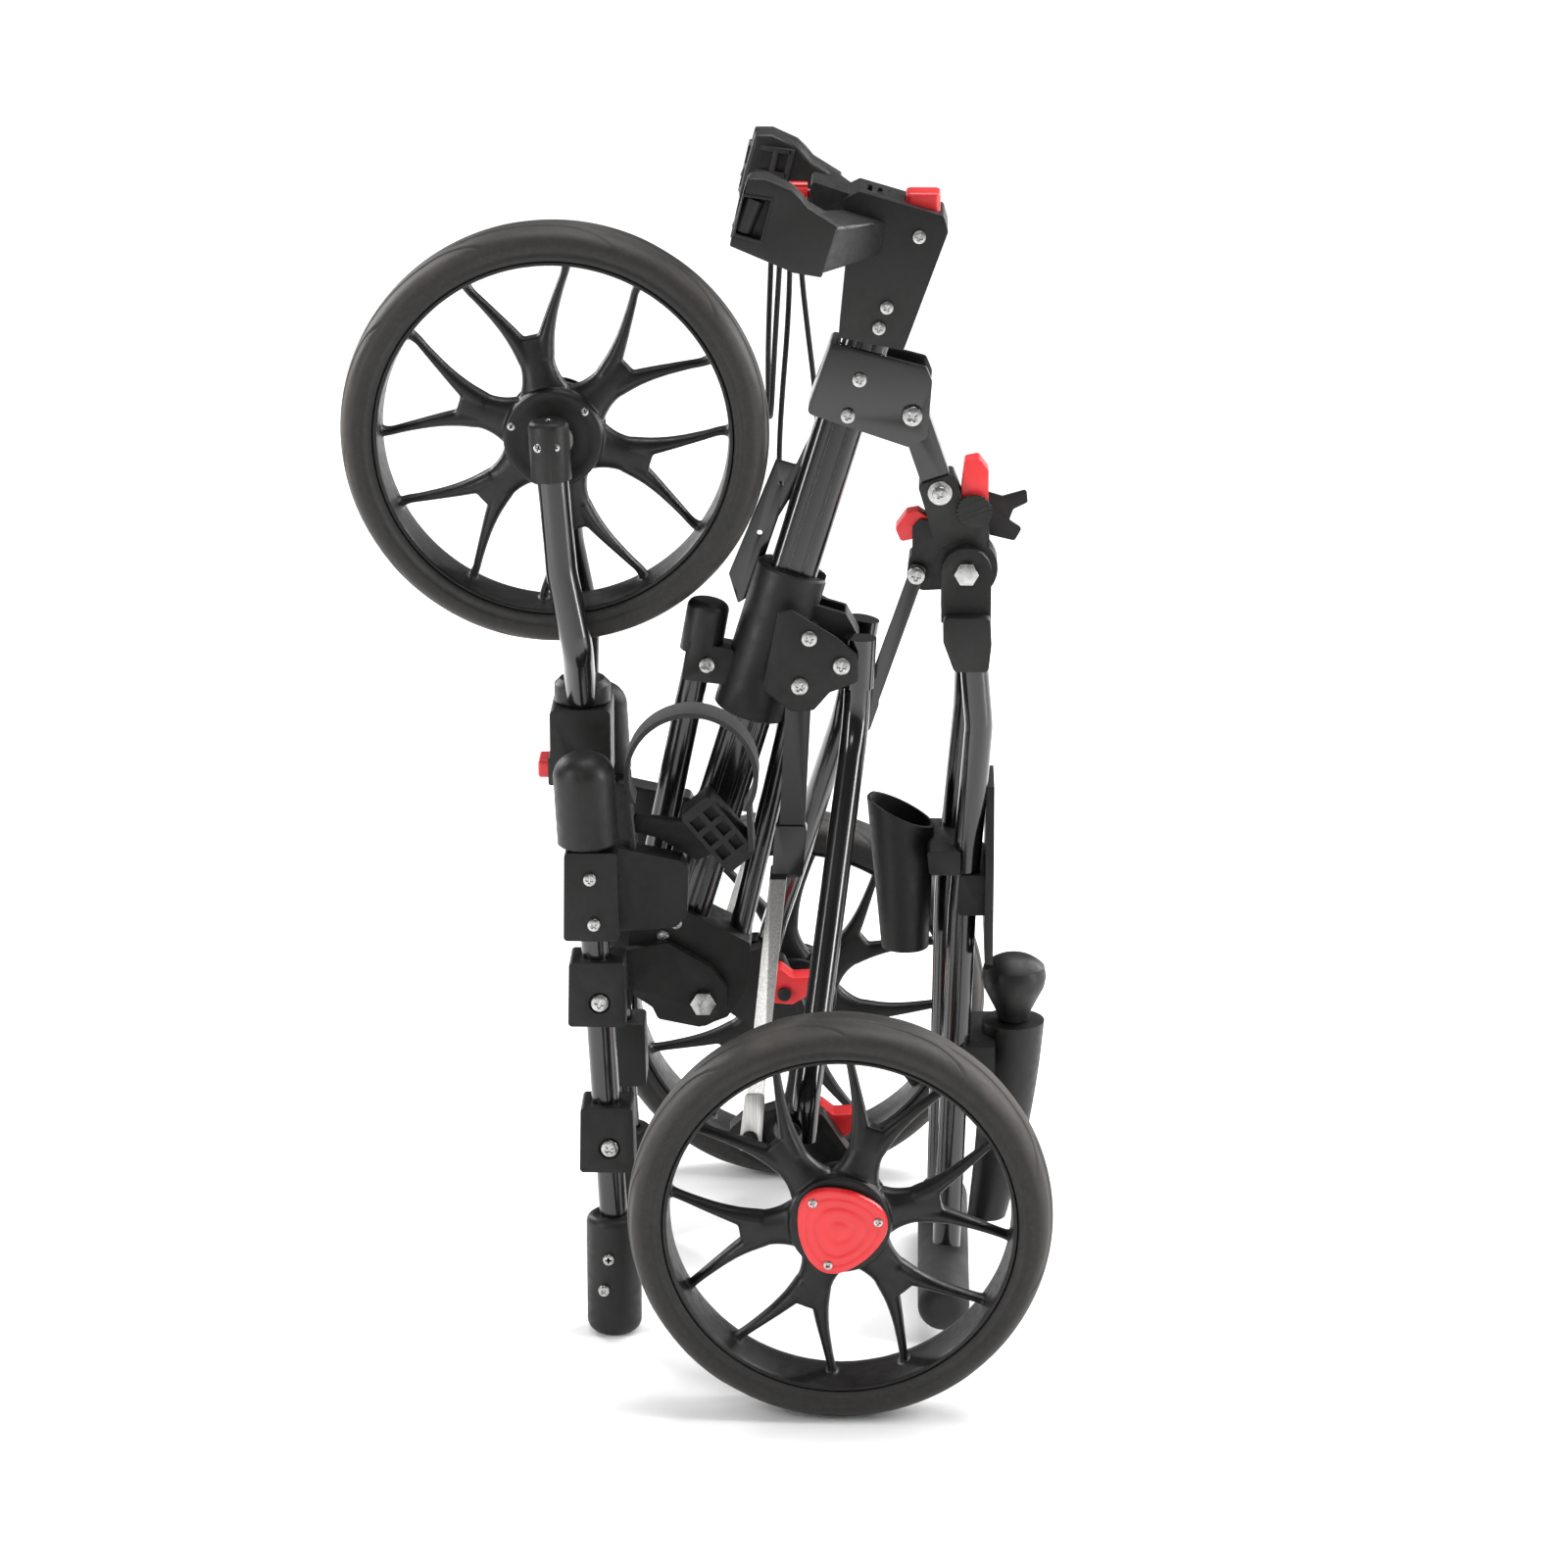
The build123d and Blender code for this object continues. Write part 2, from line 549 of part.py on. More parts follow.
buckle = rounded_slab([rot(-27, -13), rot(27, -13), rot(27, 13), rot(-27, 13)], -51, -77, 4)
for i in range(3):
    for j in range(2):
        wx, wz = -15 + 13.5 * i, -6 + 12 * j
        buckle = cut(buckle, slab([rot(wx - 4.6, wz - 4), rot(wx + 4.6, wz - 4), rot(wx + 4.6, wz + 4),
                                   rot(wx - 4.6, wz + 4)], -72, -80))
tongue = rounded_slab([(-44, 381), (-22, 378), (4, 376), (14, 354), (0, 348), (-26, 364), (-45, 369)], -54, -62, 3)
keep("strap_buckle", fuse(buckle, tongue))

# ---------------------------------------------------------------- fork
with BuildPart() as crown:
    with BuildSketch(Plane(origin=(STEM_X, 0, 447.5))):
        Circle(20)
    extrude(amount=16)
    chamfer(crown.edges().filter_by(GeomType.CIRCLE).group_by(Axis.Z)[-1], 4)
    with BuildSketch(Plane(origin=(STEM_X, 0, 412))):
        Circle(8)
    extrude(amount=40)
fork_pts = [(-83.0, -12.0, 452.0), (-83.5, -FORK_Y, 497.0), (-94.0, -FORK_Y, 552.0), (-100.2, -FORK_Y, 632.0)]
leg_core = bent_tube(fork_pts, FORK_R, 0, [30, 90])
leg_tube = bent_tube(fork_pts, FORK_R, FORK_R - 1.8, [30, 90])
keep("fork_crown", cut(crown.part, leg_core, mirror_y(leg_core)))
leg_clean = cut(leg_tube, bar((STEM_X, 0, 400), (STEM_X, 0, 452), 21))
keep("fork_legs", group(leg_clean, mirror_y(leg_clean)))

fit0, fit1 = (-100.0, -42.5, 619.0), (-101.8, -42.5, 661.0)
with BuildPart() as fitting:
    add(bar(fit0, fit1, 14.2))
    fillet(fitting.faces().sort_by(Axis.Z)[-1].edges(), 5)
fit_one = cut(fitting.part, leg_core, pin(FRONT_WHEEL[0], FRONT_WHEEL[2], AXLE_R, -20, -54))
keep("axle_fittings", group(fit_one, mirror_y(fit_one)))
front_axle = fuse(pin(FRONT_WHEEL[0], FRONT_WHEEL[2], AXLE_R, 54, -54),
                  pin(FRONT_WHEEL[0], FRONT_WHEEL[2], 8.5, -24.4, -28.0),
                  pin(FRONT_WHEEL[0], FRONT_WHEEL[2], 8.5, 28.0, 24.4))
keep("front_axle", front_axle)

# ---------------------------------------------------------------- rear legs


def leg_parts():
    """Left leg and link bar at rest, before mirroring."""
    lx, lz = LEG_PIVOT
    bx, bz = BAR_PIVOT
    l1 = (lx + LEG_VEC[0], lz + LEG_VEC[1])
    k1 = (bx + LEG_VEC[0], bz + LEG_VEC[1])
    pts = [(114.0, -27.0, 496.0), (111.0, -27.0, 436.0), (80.0, -172.0, 214.0), (77.5, -172.0, 182.0)]
    outer = bent_tube(pts, 9.5, 0, [70, 30])
    inner = bent_tube(pts, 8.0, 0, [70, 30])
    tube = cut(outer, inner)
    sleeve = bar((114.3, -27.0, 502.0), (112.5, -27.0, 466.0), 11.4)
    eye = pin(lx, lz, 11.5, -17.4, -38.4)
    inboard = slab([(80, 430), (150, 430), (150, 530), (80, 530)], 0, -17.3)   # flat face beside the strut
    top = cut(fuse(sleeve, eye), inner, inboard, pin(lx, lz, 4 + BORE_CLR, -10, -45))
    low = pin(l1[0], l1[1], 12, -160.2, -180)
    leg = cut(fuse(top, tube, low), pin(l1[0], l1[1], 4 + BORE_CLR, -150, -190),
              pin(lx, lz, 4 + BORE_CLR, -10, -45))
    # link bar: a deep flat tube, then a slanting steel strip
    top_eye = rounded_slab([(bx - 9, bz + 8), (bx + 9, bz + 8), (bx + 3.0, bz - 118), (bx - 15, bz - 118)],
                           -30.4, -38.4, 4)
    socket = rounded_slab([(bx - 17, bz - 104), (bx + 5.5, bz - 104), (bx + 2, bz - 142), (bx - 20, bz - 142)],
                          -27.4, -41.4, 4)
    with BuildPart() as strip:
        a = (bx - 14.5, -36.0, bz - 136)
        b = (k1[0] + 4.0, -161.2, k1[1] + 30)
        d = (Vector(*b) - Vector(*a))
        across = Vector(1, 0, 0) - d.normalized() * d.normalized().X
        with BuildSketch(Plane(origin=a, x_dir=across, z_dir=d)):
            Rectangle(12, 3.0)
        extrude(amount=d.length)
    end_eye = rounded_slab([(k1[0] - 8, k1[1] - 8), (k1[0] + 8, k1[1] - 8), (k1[0] + 11, k1[1] + 34),
                            (k1[0] - 3, k1[1] + 34)], -159.7, -162.7, 3)
    link = cut(fuse(top_eye, socket, strip.part, end_eye), pin(bx, bz, 4 + BORE_CLR, -20, -50),
               pin(k1[0], k1[1], 4.4, -150, -170))
    return leg, link


leg_l, link_l = leg_parts()
keep("leg_left", leg_l)
keep("link_left", link_l)
leg_axis = Axis((LEG_PIVOT[0], 0, LEG_PIVOT[1]), (0, 1, 0))
bar_axis = Axis((BAR_PIVOT[0], 0, BAR_PIVOT[1]), (0, 1, 0))
keep("leg_right", mirror_y(leg_l).rotate(leg_axis, RIGHT_EXTRA))
keep("link_right", mirror_y(link_l).rotate(bar_axis, RIGHT_EXTRA))


def turned(v, deg):
    """Rotate an (x, z) vector about +Y."""
    a = math.radians(deg)
    return (v[0] * math.cos(a) + v[1] * math.sin(a), -v[0] * math.sin(a) + v[1] * math.cos(a))


VEC_R = turned(LEG_VEC, RIGHT_EXTRA)


def bracket(vec, wheel_c):
    """Axle bracket between the leg's eye and the link's eye, with its stub axle, on the left side."""
    l1 = (LEG_PIVOT[0] + vec[0], LEG_PIVOT[1] + vec[1])
    k1 = (BAR_PIVOT[0] + vec[0], BAR_PIVOT[1] + vec[1])
    w = wheel_c
    body = rounded_slab([(k1[0] - 14, k1[1] + 6), (k1[0] - 6, k1[1] + 14), (l1[0] + 4, l1[1] + 12.5),
                         (l1[0] + 22, l1[1] + 2), (w[0] + 15, w[1] + 6), (w[0] + 12, w[1] - 13),
                         (w[0] - 8, w[1] - 15), (k1[0] - 2, k1[1] - 15), (k1[0] - 14, k1[1] - 8)],
                        -142, -158.5, 4)
    ribs = slab([(k1[0] + 8, k1[1] + 4), (l1[0] - 14, l1[1] + 2), (l1[0] - 6, l1[1] - 14), (k1[0] + 12, k1[1] - 8)],
                -153, -160)
    boss_w = pin(w[0], w[1], 14, -142, -192)
    flange = pin(w[0], w[1], 9, -190, -197.4)
    axle = pin(w[0], w[1], AXLE_R, -190, -245)
    p1 = pin(l1[0], l1[1], 4, -150, -185)
    p2 = pin(k1[0], k1[1], 4, -150, -166)
    head1 = screw(l1[0], l1[1], -181.8, -1, 6.5, 3, 4, 0)
    head2 = screw(k1[0], k1[1], -163.2, -1, 6, 3, 4, 0)
    peg = pin(l1[0] + 22.7, l1[1] - 15.9, 3, -120, -145)
    peg_head = pin(l1[0] + 22.7, l1[1] - 15.9, 5, -118, -121)
    return fuse(cut(body, ribs), boss_w, flange, axle, p1, p2, head1, head2, peg, peg_head), l1


def brake(l1):
    px, pz = l1[0] + 22.7, l1[1] - 15.9
    body = rounded_slab([(px - 9, pz - 8), (px + 6, pz - 9), (px + 25, pz + 3), (px + 23, pz + 13), (px + 6, pz + 12),
                         (px - 4, pz + 20), (px - 11, pz + 12)], -122, -141.2, 3)
    return cut(body, pin(px, pz, 3 + BORE_CLR, -110, -150),
               rounded_slab([(px + 9, pz + 1), (px + 19, pz + 5), (px + 17, pz + 9), (px + 8, pz + 7)], -128, -136, 1))


br_l, l1_l = bracket(LEG_VEC, (REAR_LEFT[0], REAR_LEFT[2]))
keep("axle_bracket_left", br_l)
keep("brake_lever_left", brake(l1_l))
br_r, l1_r = bracket(VEC_R, (REAR_RIGHT[0], REAR_RIGHT[2]))
keep("axle_bracket_right", mirror_y(br_r))
keep("brake_lever_right", mirror_y(brake(l1_r)))

# ---------------------------------------------------------------- handle link
ld = Vector(HUB_PIVOT[0] - LINK_PIVOT[0], 0, HUB_PIVOT[1] - LINK_PIVOT[1])
ll = ld.length
du = (ld.X / ll, ld.Z / ll)
nu = (-du[1], du[0])            # to the rear side of the link


def on_link(s, t):
    return (LINK_PIVOT[0] + s * du[0] + t * nu[0], LINK_PIVOT[1] + s * du[1] + t * nu[1])


arm_core = rounded_slab([on_link(-2, -10.5), on_link(72, -10.5), on_link(72, 10.5), on_link(-2, 10.5)],
                        10.5, -10.5, 1.5)
link_arm = cut(fuse(arm_core, pin(*LINK_PIVOT, 11.5, 10.5, -10.5)), pin(*LINK_PIVOT, 5 + BORE_CLR, 20, -20))
keep("link_arm", link_arm)

neck = rounded_slab([on_link(50, -13), on_link(50, 13), on_link(98, 15), on_link(98, -15)], 13.2, -13.2, 3)
disc = pin(*HUB_PIVOT, 22, 12.4, -12.4)
lug = rounded_slab([(148, 556), (164, 566), (190, 562), (190, 534), (158, 532), (146, 536)], 11.5, -11.5, 4)
TOP_LEVER = (193.0, 590.0)
SIDE_LEVER = (157.0, 577.0)
ears_top = group(*[rounded_slab([(178, 560), (178, 592), (186, 600), (200, 598), (204, 586), (202, 560)], a, b, 4)
                   for a, b in ((12.5, 9.4), (-9.4, -12.5))])
ears_side = group(*[rounded_slab([(150, 550), (150, 578), (156, 584), (163, 582), (168, 560), (168, 550)], a, b, 3)
                    for a, b in ((11.5, 8.6), (-8.6, -11.5))])
web_top = rounded_slab([(180, 556), (180, 574), (204, 574), (204, 556)], 12.4, -12.4, 2)
hub = fuse(neck, disc, lug, *ears_top.solids(), *ears_side.solids(), web_top)
lever_room_top = slab([(183.4, 577.4), (212, 577.4), (212, 640), (183.4, 640)], 9.4, -9.4)
lever_room_side = pin(*SIDE_LEVER, 13.2, 8.6, -8.6)
lever_sweep_top = pin(*TOP_LEVER, 12.8, 9.4, -9.4)
hub = cut(hub, arm_core, lever_room_top, lever_sweep_top, lever_room_side, pin(*HUB_PIVOT, 5, 20, -20),
          pin(*STRUT_PIVOT, 4, 20, -20))
hook = rounded_slab([(184, 580), (205, 566), (222, 562), (227, 571), (218, 577), (221, 585), (231, 590), (230, 599),
                     (213, 594), (200, 598), (187, 594)], 16.2, 12.5, 2)
hub = fuse(hub, hook, pin(*TOP_LEVER, 3, 12.5, -12.5), pin(*SIDE_LEVER, 2.5, 11.5, -11.5))
keep("angle_hub", hub)

hub_bolt = fuse(pin(*HUB_PIVOT, 5, 24.4, -24.4), hexnut(*HUB_PIVOT, -24.4, -1, 15, 6), hexnut(*HUB_PIVOT, 24.4, 1, 15, 6))
strut_bolt = fuse(pin(*STRUT_PIVOT, 4, 12.6, -17.0), screw(*STRUT_PIVOT, -17.0, -1, 6.2, 3.2, 4, 0),
                  screw(*STRUT_PIVOT, 11.5, 1, 6.2, 3.2, 4, 0))
wx, wz = on_link(60, 0)
sleeve_bolt = fuse(pin(wx, wz, 8.5, -13.2, -14.8), screw(wx, wz, -14.8, -1, 5.4, 3, 3, 4))
with BuildPart() as serrated:
    with BuildSketch(xz_plane(-12.5)):
        with Locations(TOP_LEVER):
            Circle(12.5)
            with PolarLocations(12.5, 24):
                Circle(0.9, mode=Mode.SUBTRACT)
    extrude(amount=2.8)
keep("link_bolts", group(hub_bolt, strut_bolt, sleeve_bolt, serrated.part))

lever_top = rounded_slab([(186, 580.5), (199, 580.5), (203, 596), (203, 618), (196, 627), (186, 625), (184, 606),
                          (184, 590)], 9.0, -9.0, 3)
keep("cam_lever_top", cut(lever_top, pin(*TOP_LEVER, 3 + BORE_CLR, 20, -20)))
lever_side = fuse(rounded_slab([(158, 570), (142, 566.5), (138, 576), (146, 587), (154, 588.5), (161, 584)], 8.2, -8.2, 2.5))
lever_side = cut(lever_side, pin(*SIDE_LEVER, 2.5 + BORE_CLR, 20, -20))
keep("cam_lever_side", lever_side)

# strut: a flat bar beside a rod, joined by a block at the lower end
sd = Vector(115.0 - STRUT_PIVOT[0], 0, 433.0 - STRUT_PIVOT[1])
sl = sd.length
su = (sd.X / sl, sd.Z / sl)
sn = (-su[1], su[0])


def on_strut(s, t):
    return (STRUT_PIVOT[0] + s * su[0] + t * sn[0], STRUT_PIVOT[1] + s * su[1] + t * sn[1])


flat = rounded_slab([on_strut(-7, -5.5), on_strut(sl, -5.5), on_strut(sl, 5.5), on_strut(-7, 5.5)], -12.3, -16.5, 3)
block_f = rounded_slab([on_strut(sl - 22, -6.5), on_strut(sl + 2, -6.5), on_strut(sl + 2, 6.5), on_strut(sl - 22, 6.5)],
                       8, -16.5, 3)
rx0, rz0 = on_strut(30, 2)
rx1, rz1 = on_strut(sl - 10, 2)
rod = bar((rx0, 0, rz0), (rx1, 0, rz1), 4)
keep("handle_strut", cut(fuse(flat, block_f, rod), pin(*STRUT_PIVOT, 4 + BORE_CLR, 0, -30)))

# ---------------------------------------------------------------- handle
HB_Y = 26.0
near_pts = [(192.0, -HB_Y, 505.0), (198.0, -HB_Y, 438.0), (187.5, -HB_Y, 300.0), (178.5, -HB_Y, 40.0)]
far_pts = [(192.0, HB_Y, 505.0), (190.0, HB_Y, 438.0), (178.0, HB_Y, 300.0), (174.0, HB_Y, 40.0)]
near_core = bent_tube(near_pts, 10, 0, [50, 300])
far_core = bent_tube(far_pts, 10, 0, [50, 300])
near_tube = bent_tube(near_pts, 10, 8.4, [50, 300])
far_tube = bent_tube(far_pts, 10, 8.4, [50, 300])
keep("handle_tubes", group(near_tube, far_tube))

cheek = fuse(pin(*HUB_PIVOT, 17.5, -13.0, -24.0),
             rounded_slab([(170.5, 548), (170.5, 512), (205.5, 512), (205.5, 548)], -13, -24, 1))
yoke_block = rounded_slab([(172, 519), (205, 519), (206, 500), (204, 480), (180, 480), (172, 502)], 37.5, -37.5, 4)
yoke = cut(fuse(cheek, mirror_y(cheek), yoke_block), pin(*HUB_PIVOT, 5 + BORE_CLR, 40, -40), near_core, far_core)
keep("hub_yoke", yoke)

with BuildPart() as grip:
    with BuildSketch(xz_plane(112)):
        with Locations((176.5, 28)):
            Circle(18.5)
    extrude(amount=224)
    fillet(grip.edges().filter_by(GeomType.CIRCLE), 10)
keep("grip", cut(grip.part, near_core, far_core))

with BuildPart() as cup_outer:
    with BuildSketch(Plane(origin=(147, 0, 264))):
        Circle(17)
    with BuildSketch(Plane(origin=(143.5, 0, 376))):
        Circle(24.5)
    loft()
with BuildPart() as cup_inner:
    with BuildSketch(Plane(origin=(146.9, 0, 268))):
        Circle(14.6)
    with BuildSketch(Plane(origin=(143.4, 0, 378))):
        Circle(22.2)
    loft()
cup_top = slab([(110, 378), (122, 376.5), (170, 354), (180, 354), (180, 400), (110, 400)], 30, -30)
cup_arm = rounded_slab([(162, 348), (186, 348), (186, 330), (164, 330)], 38, -38, 3)
cup = cut(fuse(cup_outer.part, cup_arm), cup_inner.part, cup_top, near_core, far_core)
keep("cup_holder", cup)

# score card console: a thin upright board on the rear of the tubes
with BuildPart() as board:
    with BuildSketch(Plane(origin=(203.5, 0, 0), x_dir=(0, 1, 0), z_dir=(1, 0, 0))):
        with BuildLine():
            Polyline((-46, 266), (46, 266), (46, 344), (26, 392), (-26, 392), (-46, 344), close=True)
        make_face()
        with Locations(*[(-36 + 12 * i, 274) for i in range(7)]):
            Circle(3, mode=Mode.SUBTRACT)
    extrude(amount=6)
board_clamp = rounded_slab([(186, 330), (205, 330), (205, 300), (184, 300)], 38, -38, 3)
keep("console", cut(fuse(board.part, board_clamp), near_core, far_core))

# umbrella holder with its clamp knob
with BuildPart() as holder:
    with BuildSketch(Plane(origin=(208.0, 0, 56))):
        Circle(14)
    with BuildSketch(Plane(origin=(219.0, 0, 128))):
        Circle(19)
    with BuildSketch(Plane(origin=(225.5, 0, 208))):
        Circle(22.5)
    loft()
holder_arm = rounded_slab([(186, 200), (212, 200), (212, 178), (184, 178)], 38, -38, 3)
holder_all = cut(fuse(holder.part, holder_arm), bar((225.5, 0, 186), (225.5, 0, 220), 5 + BORE_CLR),
                 near_core, far_core)
keep("umbrella_holder", holder_all)
with BuildPart() as mush:
    with BuildSketch(Plane(origin=(225.5, 0, 0), x_dir=(1, 0, 0), z_dir=(0, -1, 0))):
        with BuildLine():
            Polyline((0, 188), (5, 188), (5, 208.6), (11, 208.6), (13, 216), (22, 234), (23.5, 242), (22, 249))
            Spline((22, 249), (12, 256), (0, 258))
            Line((0, 258), (0, 188))
        make_face()
    revolve(axis=Axis((225.5, 0, 0), (0, 0, 1)))
keep("umbrella_knob", mush.part)

# ---------------------------------------------------------------- elastic cords under the right arm
CORD_D = 4.0


def cord_tube(name, pts):
    """A limp cord's tube: straight runs joined by arcs as large as the runs allow."""
    radii = []
    for i in range(1, len(pts) - 1):
        a = Vector(*pts[i]) - Vector(*pts[i - 1])
        b = Vector(*pts[i + 1]) - Vector(*pts[i])
        turn = math.radians(a.get_angle(b))
        radii.append(0.45 * min(a.length, b.length) / math.tan(turn / 2))
    shape = bent_tube(pts, CORD_D / 2, 0, radii)
    with BuildLine() as ln:
        FilletPolyline(*pts, radius=radii)
    run = sum(e.length for e in ln.line.edges())
    print(name, "radii", [round(r, 1) for r in radii], "length", round(run, 1),
          "volume ratio", round(shape.volume / (math.pi * CORD_D ** 2 / 4 * run), 4))
    keep(name, shape)


cord_tube("cradle_cord_one", [(50.0, 88.0, 783.0), (48.6, 89.5, 745.0), (47.0, 88.6, 700.0), (46.4, 89.4, 668.0),
                              (46.8, 89.0, 641.9), (48.0, 75.0, 633.8), (49.4, 61.0, 641.9), (50.8, 60.6, 668.0),
                              (52.6, 62.4, 702.0), (55.2, 66.0, 746.0), (57.0, 69.6, 781.0)])
cord_tube("cradle_cord_two", [(62.0, 86.0, 781.0), (62.4, 84.6, 744.0), (60.6, 81.0, 698.0), (57.0, 77.6, 654.0),
                              (54.6, 74.6, 612.0), (55.0, 72.4, 581.9), (69.0, 69.6, 573.8), (83.0, 67.4, 581.9),
                              (83.4, 68.0, 612.0), (80.6, 70.6, 654.0), (75.0, 74.4, 698.0), (70.0, 77.0, 742.0),
                              (68.0, 77.4, 779.0)])

lo = [min(getattr(s.bounding_box().min, a) for s in made.values()) for a in "XYZ"]
hi = [max(getattr(s.bounding_box().max, a) for s in made.values()) for a in "XYZ"]
print("nodes", len(made), "box", [round(v, 2) for v in lo], [round(v, 2) for v in hi])
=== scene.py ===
import bpy, bmesh, math, json
import numpy as np
from mathutils import Vector, Matrix, noise

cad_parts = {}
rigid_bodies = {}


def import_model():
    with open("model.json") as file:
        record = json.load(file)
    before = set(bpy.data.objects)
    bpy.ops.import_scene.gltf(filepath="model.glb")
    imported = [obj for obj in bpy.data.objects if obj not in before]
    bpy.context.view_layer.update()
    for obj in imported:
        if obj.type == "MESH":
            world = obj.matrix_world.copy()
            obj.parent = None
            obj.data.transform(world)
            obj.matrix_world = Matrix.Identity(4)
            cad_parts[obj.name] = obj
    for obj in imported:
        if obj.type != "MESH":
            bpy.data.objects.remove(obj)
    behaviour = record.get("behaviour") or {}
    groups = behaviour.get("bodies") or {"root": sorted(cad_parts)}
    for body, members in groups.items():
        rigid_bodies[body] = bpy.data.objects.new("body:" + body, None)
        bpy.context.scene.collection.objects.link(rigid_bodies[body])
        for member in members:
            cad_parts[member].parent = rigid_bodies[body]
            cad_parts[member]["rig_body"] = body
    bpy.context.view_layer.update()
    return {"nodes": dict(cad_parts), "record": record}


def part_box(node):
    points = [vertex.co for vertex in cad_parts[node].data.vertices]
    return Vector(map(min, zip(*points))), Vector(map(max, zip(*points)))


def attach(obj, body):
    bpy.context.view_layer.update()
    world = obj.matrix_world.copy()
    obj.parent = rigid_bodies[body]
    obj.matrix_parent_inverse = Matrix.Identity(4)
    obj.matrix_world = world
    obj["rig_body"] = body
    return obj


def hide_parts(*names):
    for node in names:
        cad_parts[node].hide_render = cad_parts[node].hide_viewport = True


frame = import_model()
NODES = frame["nodes"]
mm = 0.001

# ------------------------------------------------------------------ camera
cam_data = bpy.data.cameras.new("camera")
cam_data.lens = 121.5
cam_data.sensor_width = 36.0
cam = bpy.data.objects.new("camera", cam_data)
cam.location = (0.14770, -3.58846, 1.53747)
cam.rotation_euler = (math.radians(72.2), 0.0, math.radians(1.4))
bpy.context.scene.collection.objects.link(cam)
bpy.context.scene.camera = cam
bpy.context.scene.view_settings.view_transform = "Standard"

# ------------------------------------------------------------------ materials


def mat_base(name):
    m = bpy.data.materials.new(name)
    m.use_nodes = True
    nt = m.node_tree
    b = nt.nodes["Principled BSDF"]
    co = nt.nodes.new("ShaderNodeTexCoord")
    return m, nt, b, co


def tex_noise(nt, co, scale, detail=3.0, rough=0.55):
    n = nt.nodes.new("ShaderNodeTexNoise")
    n.inputs["Scale"].default_value = scale
    n.inputs["Detail"].default_value = detail
    n.inputs["Roughness"].default_value = rough
    nt.links.new(co.outputs["Object"], n.inputs["Vector"])
    return n


def ramp(nt, src, stops):
    r = nt.nodes.new("ShaderNodeValToRGB")
    els = r.color_ramp.elements
    els[0].position, els[0].color = stops[0][0], (*stops[0][1], 1)
    els[1].position, els[1].color = stops[-1][0], (*stops[-1][1], 1)
    for p, c in stops[1:-1]:
        e = els.new(p)
        e.color = (*c, 1)
    nt.links.new(src, r.inputs["Fac"])
    return r


def maprange(nt, src, a, b, c, d):
    n = nt.nodes.new("ShaderNodeMapRange")
    n.inputs["From Min"].default_value = a
    n.inputs["From Max"].default_value = b
    n.inputs["To Min"].default_value = c
    n.inputs["To Max"].default_value = d
    nt.links.new(src, n.inputs["Value"])
    return n


def bump(nt, b, src, strength, dist, prev=None):
    n = nt.nodes.new("ShaderNodeBump")
    n.inputs["Strength"].default_value = strength
    n.inputs["Distance"].default_value = dist
    nt.links.new(src, n.inputs["Height"])
    if prev is not None:
        nt.links.new(prev.outputs["Normal"], n.inputs["Normal"])
    nt.links.new(n.outputs["Normal"], b.inputs["Normal"])
    return n


def paint():
    """Gloss black powder coat: faint orange peel, slight haze, small dust specks."""
    m, nt, b, co = mat_base("black_paint")
    big = tex_noise(nt, co, 9.0, 4)
    fine = tex_noise(nt, co, 420.0, 2)
    r = ramp(nt, big.outputs["Fac"], [(0.35, (0.0040, 0.0039, 0.0038)), (0.7, (0.0068, 0.0066, 0.0064))])
    nt.links.new(r.outputs["Color"], b.inputs["Base Color"])
    rr = maprange(nt, big.outputs["Fac"], 0.3, 0.7, 0.15, 0.25)
    nt.links.new(rr.outputs["Result"], b.inputs["Roughness"])
    b.inputs["Coat Weight"].default_value = 0.35
    b.inputs["Coat Roughness"].default_value = 0.06
    bump(nt, b, fine.outputs["Fac"], 0.05, 0.0004)
    return m


def plastic(name="black_plastic", lo=(0.0058, 0.0054, 0.0052), hi=(0.0105, 0.0099, 0.0095), rough=(0.38, 0.56),
            grain=0.22, scale=1700.0):
    """Moulded charcoal plastic: fine spark-eroded grain, cloudy sheen, paler rubbed edges."""
    m, nt, b, co = mat_base(name)
    big = tex_noise(nt, co, 14.0, 5)
    mid = tex_noise(nt, co, 160.0, 3)
    fine = tex_noise(nt, co, scale, 2)
    mix = nt.nodes.new("ShaderNodeMix"); mix.data_type = "RGBA"; mix.blend_type = "MIX"
    r = ramp(nt, big.outputs["Fac"], [(0.3, lo), (0.72, hi)])
    geo = nt.nodes.new("ShaderNodeNewGeometry")
    edge = maprange(nt, geo.outputs["Pointiness"], 0.53, 0.62, 0.0, 0.45)
    nt.links.new(edge.outputs["Result"], mix.inputs["Factor"])
    nt.links.new(r.outputs["Color"], mix.inputs["A"])
    mix.inputs["B"].default_value = (0.030, 0.0285, 0.0275, 1)
    nt.links.new(mix.outputs["Result"], b.inputs["Base Color"])
    b.inputs["Specular IOR Level"].default_value = 0.30
    rr = maprange(nt, mid.outputs["Fac"], 0.3, 0.7, rough[0], rough[1])
    nt.links.new(rr.outputs["Result"], b.inputs["Roughness"])
    bump(nt, b, fine.outputs["Fac"], grain, 0.00025)
    return m


